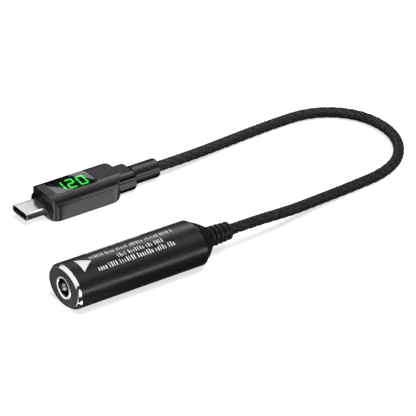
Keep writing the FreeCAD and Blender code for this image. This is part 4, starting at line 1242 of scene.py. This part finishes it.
@dataclass
class BraidedCable(SubAssembly):
    """The free cable: a dark core inside a braid of real yarns that pass over and under each other."""

    diameter: float = 3.5 * MM
    length: float = 0.185
    carriers: int = 16
    lay: float = 13.2 * MM
    yarn_radius: float = 0.25 * MM
    yarn_flatness: float = 1.45
    weave_depth: float = 1.75
    weave_swing: float = 0.75
    core_depth: float = 2.4
    core_step: float = 1.6 * MM
    samples_per_crossing: int = 3
    # The control points of the cable's line between its two ends, in millimetres.
    route: tuple[Triple, ...] = (
        (40.9, 25.2, 3.4), (53.0, 27.5, 2.2), (66.9, 29.2, 1.8), (80.4, 30.1, 1.8), (92.7, 29.9, 1.8),
        (101.9, 24.7, 1.8), (107.2, 15.6, 1.8), (107.3, 3.0, 1.8), (100.5, -8.8, 1.8), (89.6, -15.1, 1.8),
        (76.2, -16.3, 1.8), (62.6, -17.9, 2.4), (49.0, -21.3, 4.4), (36.0, -23.4, 6.5),
    )

    def build(self) -> None:
        sleeve, relief = Place.of("neck_sleeve"), Place.of("strain_relief")
        points = [sleeve.rear, *(Vector(point) * MM for point in self.route), relief.rear]
        line = self.smooth_line(points)
        bm = bmesh.new()
        self.add_core(bm, line)
        self.add_yarns(bm, line)
        item = self.piece("braided_cable", bm, "braid_black")
        fit_out(item, ("cable",))
        long = sum((b - a).length for a, b in zip(line, line[1:]))
        LOG.info("cable line %.4f m", long)

    def smooth_line(self, points: list[Vector]) -> list[Vector]:
        """The route as one smooth NURBS spline, read back as points."""
        curve = bpy.data.curves.new("cable_line", "CURVE")
        curve.dimensions = "3D"
        spline = curve.splines.new("NURBS")
        spline.points.add(len(points) - 1)
        for knot, point in zip(spline.points, points):
            knot.co = (*point, 1)
        spline.order_u = 3
        spline.use_endpoint_u = True
        spline.resolution_u = 24
        carrier = bpy.data.objects.new("cable_line", curve)
        mesh = bpy.data.meshes.new_from_object(carrier)
        line = [vert.co.copy() for vert in mesh.vertices]
        bpy.data.meshes.remove(mesh)
        bpy.data.objects.remove(carrier)
        bpy.data.curves.remove(curve)
        return line

    def along(self, line: list[Vector], spacing: float) -> list[tuple[Vector, Vector, Vector, float]]:
        """Evenly spaced stations on the line: place, side, up and distance, with no twist between them."""
        lengths = [0.0]
        for first, second in zip(line, line[1:]):
            lengths.append(lengths[-1] + (second - first).length)
        count = max(2, round(lengths[-1] / spacing))
        stations = []
        side = None
        index = 0
        for step in range(count + 1):
            distance = lengths[-1] * step / count
            while index < len(line) - 2 and lengths[index + 1] < distance:
                index += 1
            share = (distance - lengths[index]) / (lengths[index + 1] - lengths[index])
            point = line[index].lerp(line[index + 1], share)
            ahead = self.direction(line, index, share)
            side = ahead.cross(Vector((0, 0, 1))) if side is None else side - ahead * side.dot(ahead)
            side.normalize()
            stations.append((point, side.copy(), side.cross(ahead), distance))
        return stations

    @staticmethod
    def direction(line: list[Vector], index: int, share: float) -> Vector:
        """The line's heading at a share of one of its steps."""
        here = (line[index + 1] - line[index]).normalized()
        other = min(max(index + (1 if share > 0.5 else -1), 0), len(line) - 2)
        beside = (line[other + 1] - line[other]).normalized()
        return here.lerp(beside, abs(share - 0.5)).normalized()

    def add_core(self, bm: BMesh, line: list[Vector]) -> None:
        """The jacket under the braid."""
        radius = self.diameter / 2 - self.core_depth * self.yarn_radius
        stations = [station[:3] for station in self.along(line, self.core_step)]
        self.add_tube(bm, stations, radius, 16, True)

    @staticmethod
    def add_tube(bm: BMesh, stations: list, radius: float, sides: int, closed: bool) -> None:
        """Join rings at stations of (place, side, up) into a tube, with U along it and V round it."""
        uv = bm.loops.layers.uv.verify()
        angles = [math.tau * index / sides for index in range(sides)]
        rings = []
        for point, side, up in stations:
            spokes = [side * math.cos(angle) + up * math.sin(angle) for angle in angles]
            rings.append([bm.verts.new(point + spoke * radius) for spoke in spokes])
        for number, (near, far) in enumerate(zip(rings, rings[1:])):
            for index in range(sides):
                following = (index + 1) % sides
                face = bm.faces.new((near[index], near[following], far[following], far[index]))
                for loop, (ahead, around) in zip(face.loops, ((0, 0), (0, 1), (1, 1), (1, 0))):
                    loop[uv].uv = (number + ahead, (index + around) / sides)
        if closed:
            bm.faces.new(rings[-1])
            bm.faces.new(list(reversed(rings[0])))

    def add_yarns(self, bm: BMesh, line: list[Vector]) -> None:
        """Two families of helices, one each way round, that weave over two and under two."""
        crossing = self.lay / (2 * self.carriers)
        stations = self.along(line, crossing / self.samples_per_crossing * 2)
        middle = self.diameter / 2 - self.weave_depth * self.yarn_radius
        swing = self.weave_swing * self.yarn_radius
        for family in (1, -1):
            for carrier in range(self.carriers):
                path = []
                for point, side, up, distance in stations:
                    angle = family * (math.tau * distance / self.lay) + math.tau * carrier / self.carriers
                    turn = math.pi * distance / (2 * crossing) + family * math.pi / 4
                    radius = middle + family * swing * math.sin(turn + math.pi * carrier / 2)
                    outward = side * math.cos(angle) + up * math.sin(angle)
                    path.append(point + outward * radius)
                self.add_yarn(bm, path, stations)

    def add_yarn(self, bm: BMesh, path: list[Vector], stations: list) -> None:
        """One yarn: a five-sided tube, flattened against the cable."""
        frames = []
        for index, point in enumerate(path):
            before, after = path[max(index - 1, 0)], path[min(index + 1, len(path) - 1)]
            ahead = (after - before).normalized()
            outward = (point - stations[index][0]).normalized()
            side = ahead.cross(outward).normalized()
            frames.append((point, side * self.yarn_flatness, side.cross(ahead)))
        self.add_tube(bm, frames, self.yarn_radius, 5, False)


# ---------------------------------------------------------------- carried-over parts


CARRIED_OVER = {
    "inner_black": ("usb_insulator", "jack_body", "board_cradle"),
    "gold_plate": ("usb_contacts_upper", "usb_contacts_lower", "usb_contact_tails"),
    "spring_steel": (
        "usb_latch_left", "usb_latch_right", "usb_midplate", "jack_contact_spring", "jack_terminal",
        "current_shunt",
    ),
    "display_black": ("display_module",),
    "bright_nickel": ("display_pins", "plug_crimp", "socket_crimp"),
    "circuit_green": ("plug_board", "converter_board"),
    "chip_black": ("pd_controller", "meter_controller", "inductor", "power_switches", "converter_controller"),
    "ceramic_tan": ("plug_capacitors", "ceramic_capacitors"),
    "capacitor_can": ("bulk_capacitors",),
    "relief_rubber": ("plug_cable_tail", "socket_cable_tail"),
    "wire_red": ("plug_wires", "power_wires"),
}


# ---------------------------------------------------------------- the studio


@dataclass(frozen=True)
class Panel:
    """A soft area light that faces the object: its direction, distance and size in metres, and brightness."""

    name: str
    way: Triple
    far: float
    wide: float
    tall: float
    radiance: float
    in_gloss: bool = True


@dataclass(frozen=True)
class Card:
    """A reflector card that only the object's gloss picks up: its brightness and corners in millimetres."""

    name: str
    radiance: float
    corners: tuple[Triple, ...]

    @classmethod
    def level(cls, name: str, radiance: float, height: float, *corners: Point) -> "Card":
        """A card that lies level with the floor."""
        return cls(name, radiance, tuple((x, y, height) for x, y in corners))


PANELS = (
    Panel("front_strip", (0.50, -0.86, 0.10), 1.4, 1.4, 0.16, 8.0),
    Panel("mouth_strip", (-1.0, -0.25, 0.35), 1.3, 0.5, 0.3, 1.5),
    Panel("overhead", (0.1, -0.3, 1), 1.3, 1.0, 0.8, 9.0, in_gloss=False),
)

CARDS = (
    Card.level("shell_card", 1.15, 68, (0, 80), (49.5, 80), (49.5, 150), (0, 150)),
    Card.level("cover_card", 2.2, 68, (61.1, 121.1), (66.9, 113.9), (84, 110), (84, 136), (61.1, 136)),
    Card.level("window_card", 2.2, 68, (50.4, 119.2), (50.4, 108), (62, 108)),
    Card.level("tube_card", 3.0, 68, (20, 20), (120, 20), (120, 62), (20, 62)),
    Card.level("overhead_card", 0.9, 300, (-40, -160), (330, -160), (330, 20), (-40, 20)),
    Card.level("ring_card", 1.0, 68, (-250, -75), (-60, -75), (-60, 140), (-250, 140)),
    Card("chamfer_card", 1.1, ((-400, -600, -170), (-400, -340, -170), (-400, -340, 200), (-400, -600, 200))),
    Card.level("jack_card", 1.2, -60, (-125, 40), (-35, 40), (-35, 100), (-125, 100)),
    Card.level("corner_card", 3.2, -60, (-170, -50), (-64, -50), (-64, 20), (-170, 20)),
    Card.level("near_corner_card", 3.2, -60, (-64, -140), (-6, -140), (-6, -49), (-64, -49)),
    Card.level("side_card", 2.0, -0.01, (-6, 18.3), (-0.4, 10.4), (2, 4), (45, 4), (45, 18.3)),
)


@dataclass
class Studio:
    """A pale floor, soft panels, reflector cards and the camera."""

    azimuth: float = -34.8
    elevation: float = 29.5
    distance: float = 1.0
    lens: float = 290.5
    aim_right: float = 56.1 * MM
    aim_up: float = 1.49 * MM
    lit_point: Triple = (30 * MM, 0, 10 * MM)
    floor_size: float = 6.0
    floor_drop: float = 0.02 * MM
    floor_grey: float = 0.60
    floor_glow: float = 0.70
    room_light: float = 0.045

    def build(self) -> None:
        """Set the stage."""
        self.build_camera()
        self.build_floor()
        self.build_lights()

    def camera_axes(self) -> tuple[Vector, Vector, Vector]:
        """The camera's back, right and up directions."""
        turn, rise = math.radians(self.azimuth), math.radians(self.elevation)
        back = Vector((math.sin(turn) * math.cos(rise), -math.cos(turn) * math.cos(rise), math.sin(rise)))
        right = Vector((math.cos(turn), math.sin(turn), 0))
        return back, right, back.cross(right)

    def build_camera(self) -> None:
        """A long lens, far off, aimed a little to the right of the plug's mouth."""
        back, right, up = self.camera_axes()
        mouth = Place.of("usb_shell").front
        data = bpy.data.cameras.new("camera")
        data.lens = self.lens
        data.sensor_width = 36
        data.clip_end = 50
        camera = bpy.data.objects.new("camera", data)
        camera.location = mouth + back * self.distance + right * self.aim_right + up * self.aim_up
        camera.rotation_mode = "QUATERNION"
        camera.rotation_quaternion = Matrix((right, up, back)).transposed().to_quaternion()
        bpy.context.collection.objects.link(camera)
        bpy.context.scene.camera = camera

    def build_floor(self) -> None:
        """A wide pale floor just under the object, which the object's gloss doesn't pick up."""
        bm = bmesh.new()
        matrix = Matrix.Translation((0, 0, -self.floor_drop))
        bmesh.ops.create_grid(bm, x_segments=2, y_segments=2, size=self.floor_size, matrix=matrix)
        floor = new_object("floor", bm, [self.glowing("pale_floor", self.floor_grey, self.floor_glow)])
        floor.visible_glossy = False
        floor.visible_diffuse = False

    def build_lights(self) -> None:
        """A dim room with soft panels overhead, in front and at the mouths, and the reflector cards."""
        world = bpy.data.worlds.new("world")
        world.use_nodes = True
        background = world.node_tree.nodes["Background"]
        background.inputs["Color"].default_value = (0.96, 0.98, 1.0, 1)
        background.inputs["Strength"].default_value = self.room_light
        bpy.context.scene.world = world
        bpy.context.scene.view_settings.view_transform = "Standard"
        for panel in PANELS:
            self.add_panel(panel)
        for card in CARDS:
            self.add_card(card)

    @staticmethod
    def glowing(name: str, grey: float, glow: float) -> bpy.types.Material:
        """A plain matte grey material that also gives off white light."""
        material = bpy.data.materials.new(name)
        material.use_nodes = True
        shader = material.node_tree.nodes["Principled BSDF"]
        shader.inputs["Base Color"].default_value = rgba((grey, grey, grey))
        shader.inputs["Roughness"].default_value = 0.95
        shader.inputs["Specular IOR Level"].default_value = 0.0
        shader.inputs["Emission Color"].default_value = rgba((1, 1, 1))
        shader.inputs["Emission Strength"].default_value = glow
        return material

    def add_card(self, card: Card) -> None:
        """Add one reflector card, which only gloss rays see."""
        bm = bmesh.new()
        verts = [bmesh.ops.create_vert(bm, co=Vector(corner) * MM)["vert"][0] for corner in card.corners]
        bmesh.ops.contextual_create(bm, geom=verts)
        material = self.glowing(card.name, 0, card.radiance)
        material.cycles.emission_sampling = "NONE"
        item = new_object(card.name, bm, [material])
        item.visible_camera = item.visible_diffuse = item.visible_shadow = item.visible_transmission = False

    def add_panel(self, panel: Panel) -> None:
        """Add one area light that faces the object."""
        way = Vector(panel.way).normalized()
        data = bpy.data.lights.new(panel.name, "AREA")
        data.shape = "RECTANGLE"
        data.size = panel.wide
        data.size_y = panel.tall
        data.energy = panel.radiance * math.pi * panel.wide * panel.tall
        light = bpy.data.objects.new(panel.name, data)
        light.location = Vector(self.lit_point) + way * panel.far
        light.rotation_mode = "QUATERNION"
        light.rotation_quaternion = way.to_track_quat("Z", "Y")
        light.visible_glossy = panel.in_gloss
        bpy.context.collection.objects.link(light)


def main() -> None:
    """Build the whole scene in order."""
    logging.basicConfig(level=logging.INFO, format="%(message)s")
    Studio().build()
    wardrobe = Wardrobe()
    BraidedCable(wardrobe).build()
    housing = MeterHousing(wardrobe)
    for maker in (UsbPlug(wardrobe), housing, Neck(wardrobe, housing), DcSocket(wardrobe)):
        maker.build()
    for finish, nodes in CARRIED_OVER.items():
        for node in nodes:
            wardrobe.dress(node, finish)


if __name__ == "__main__":
    main()
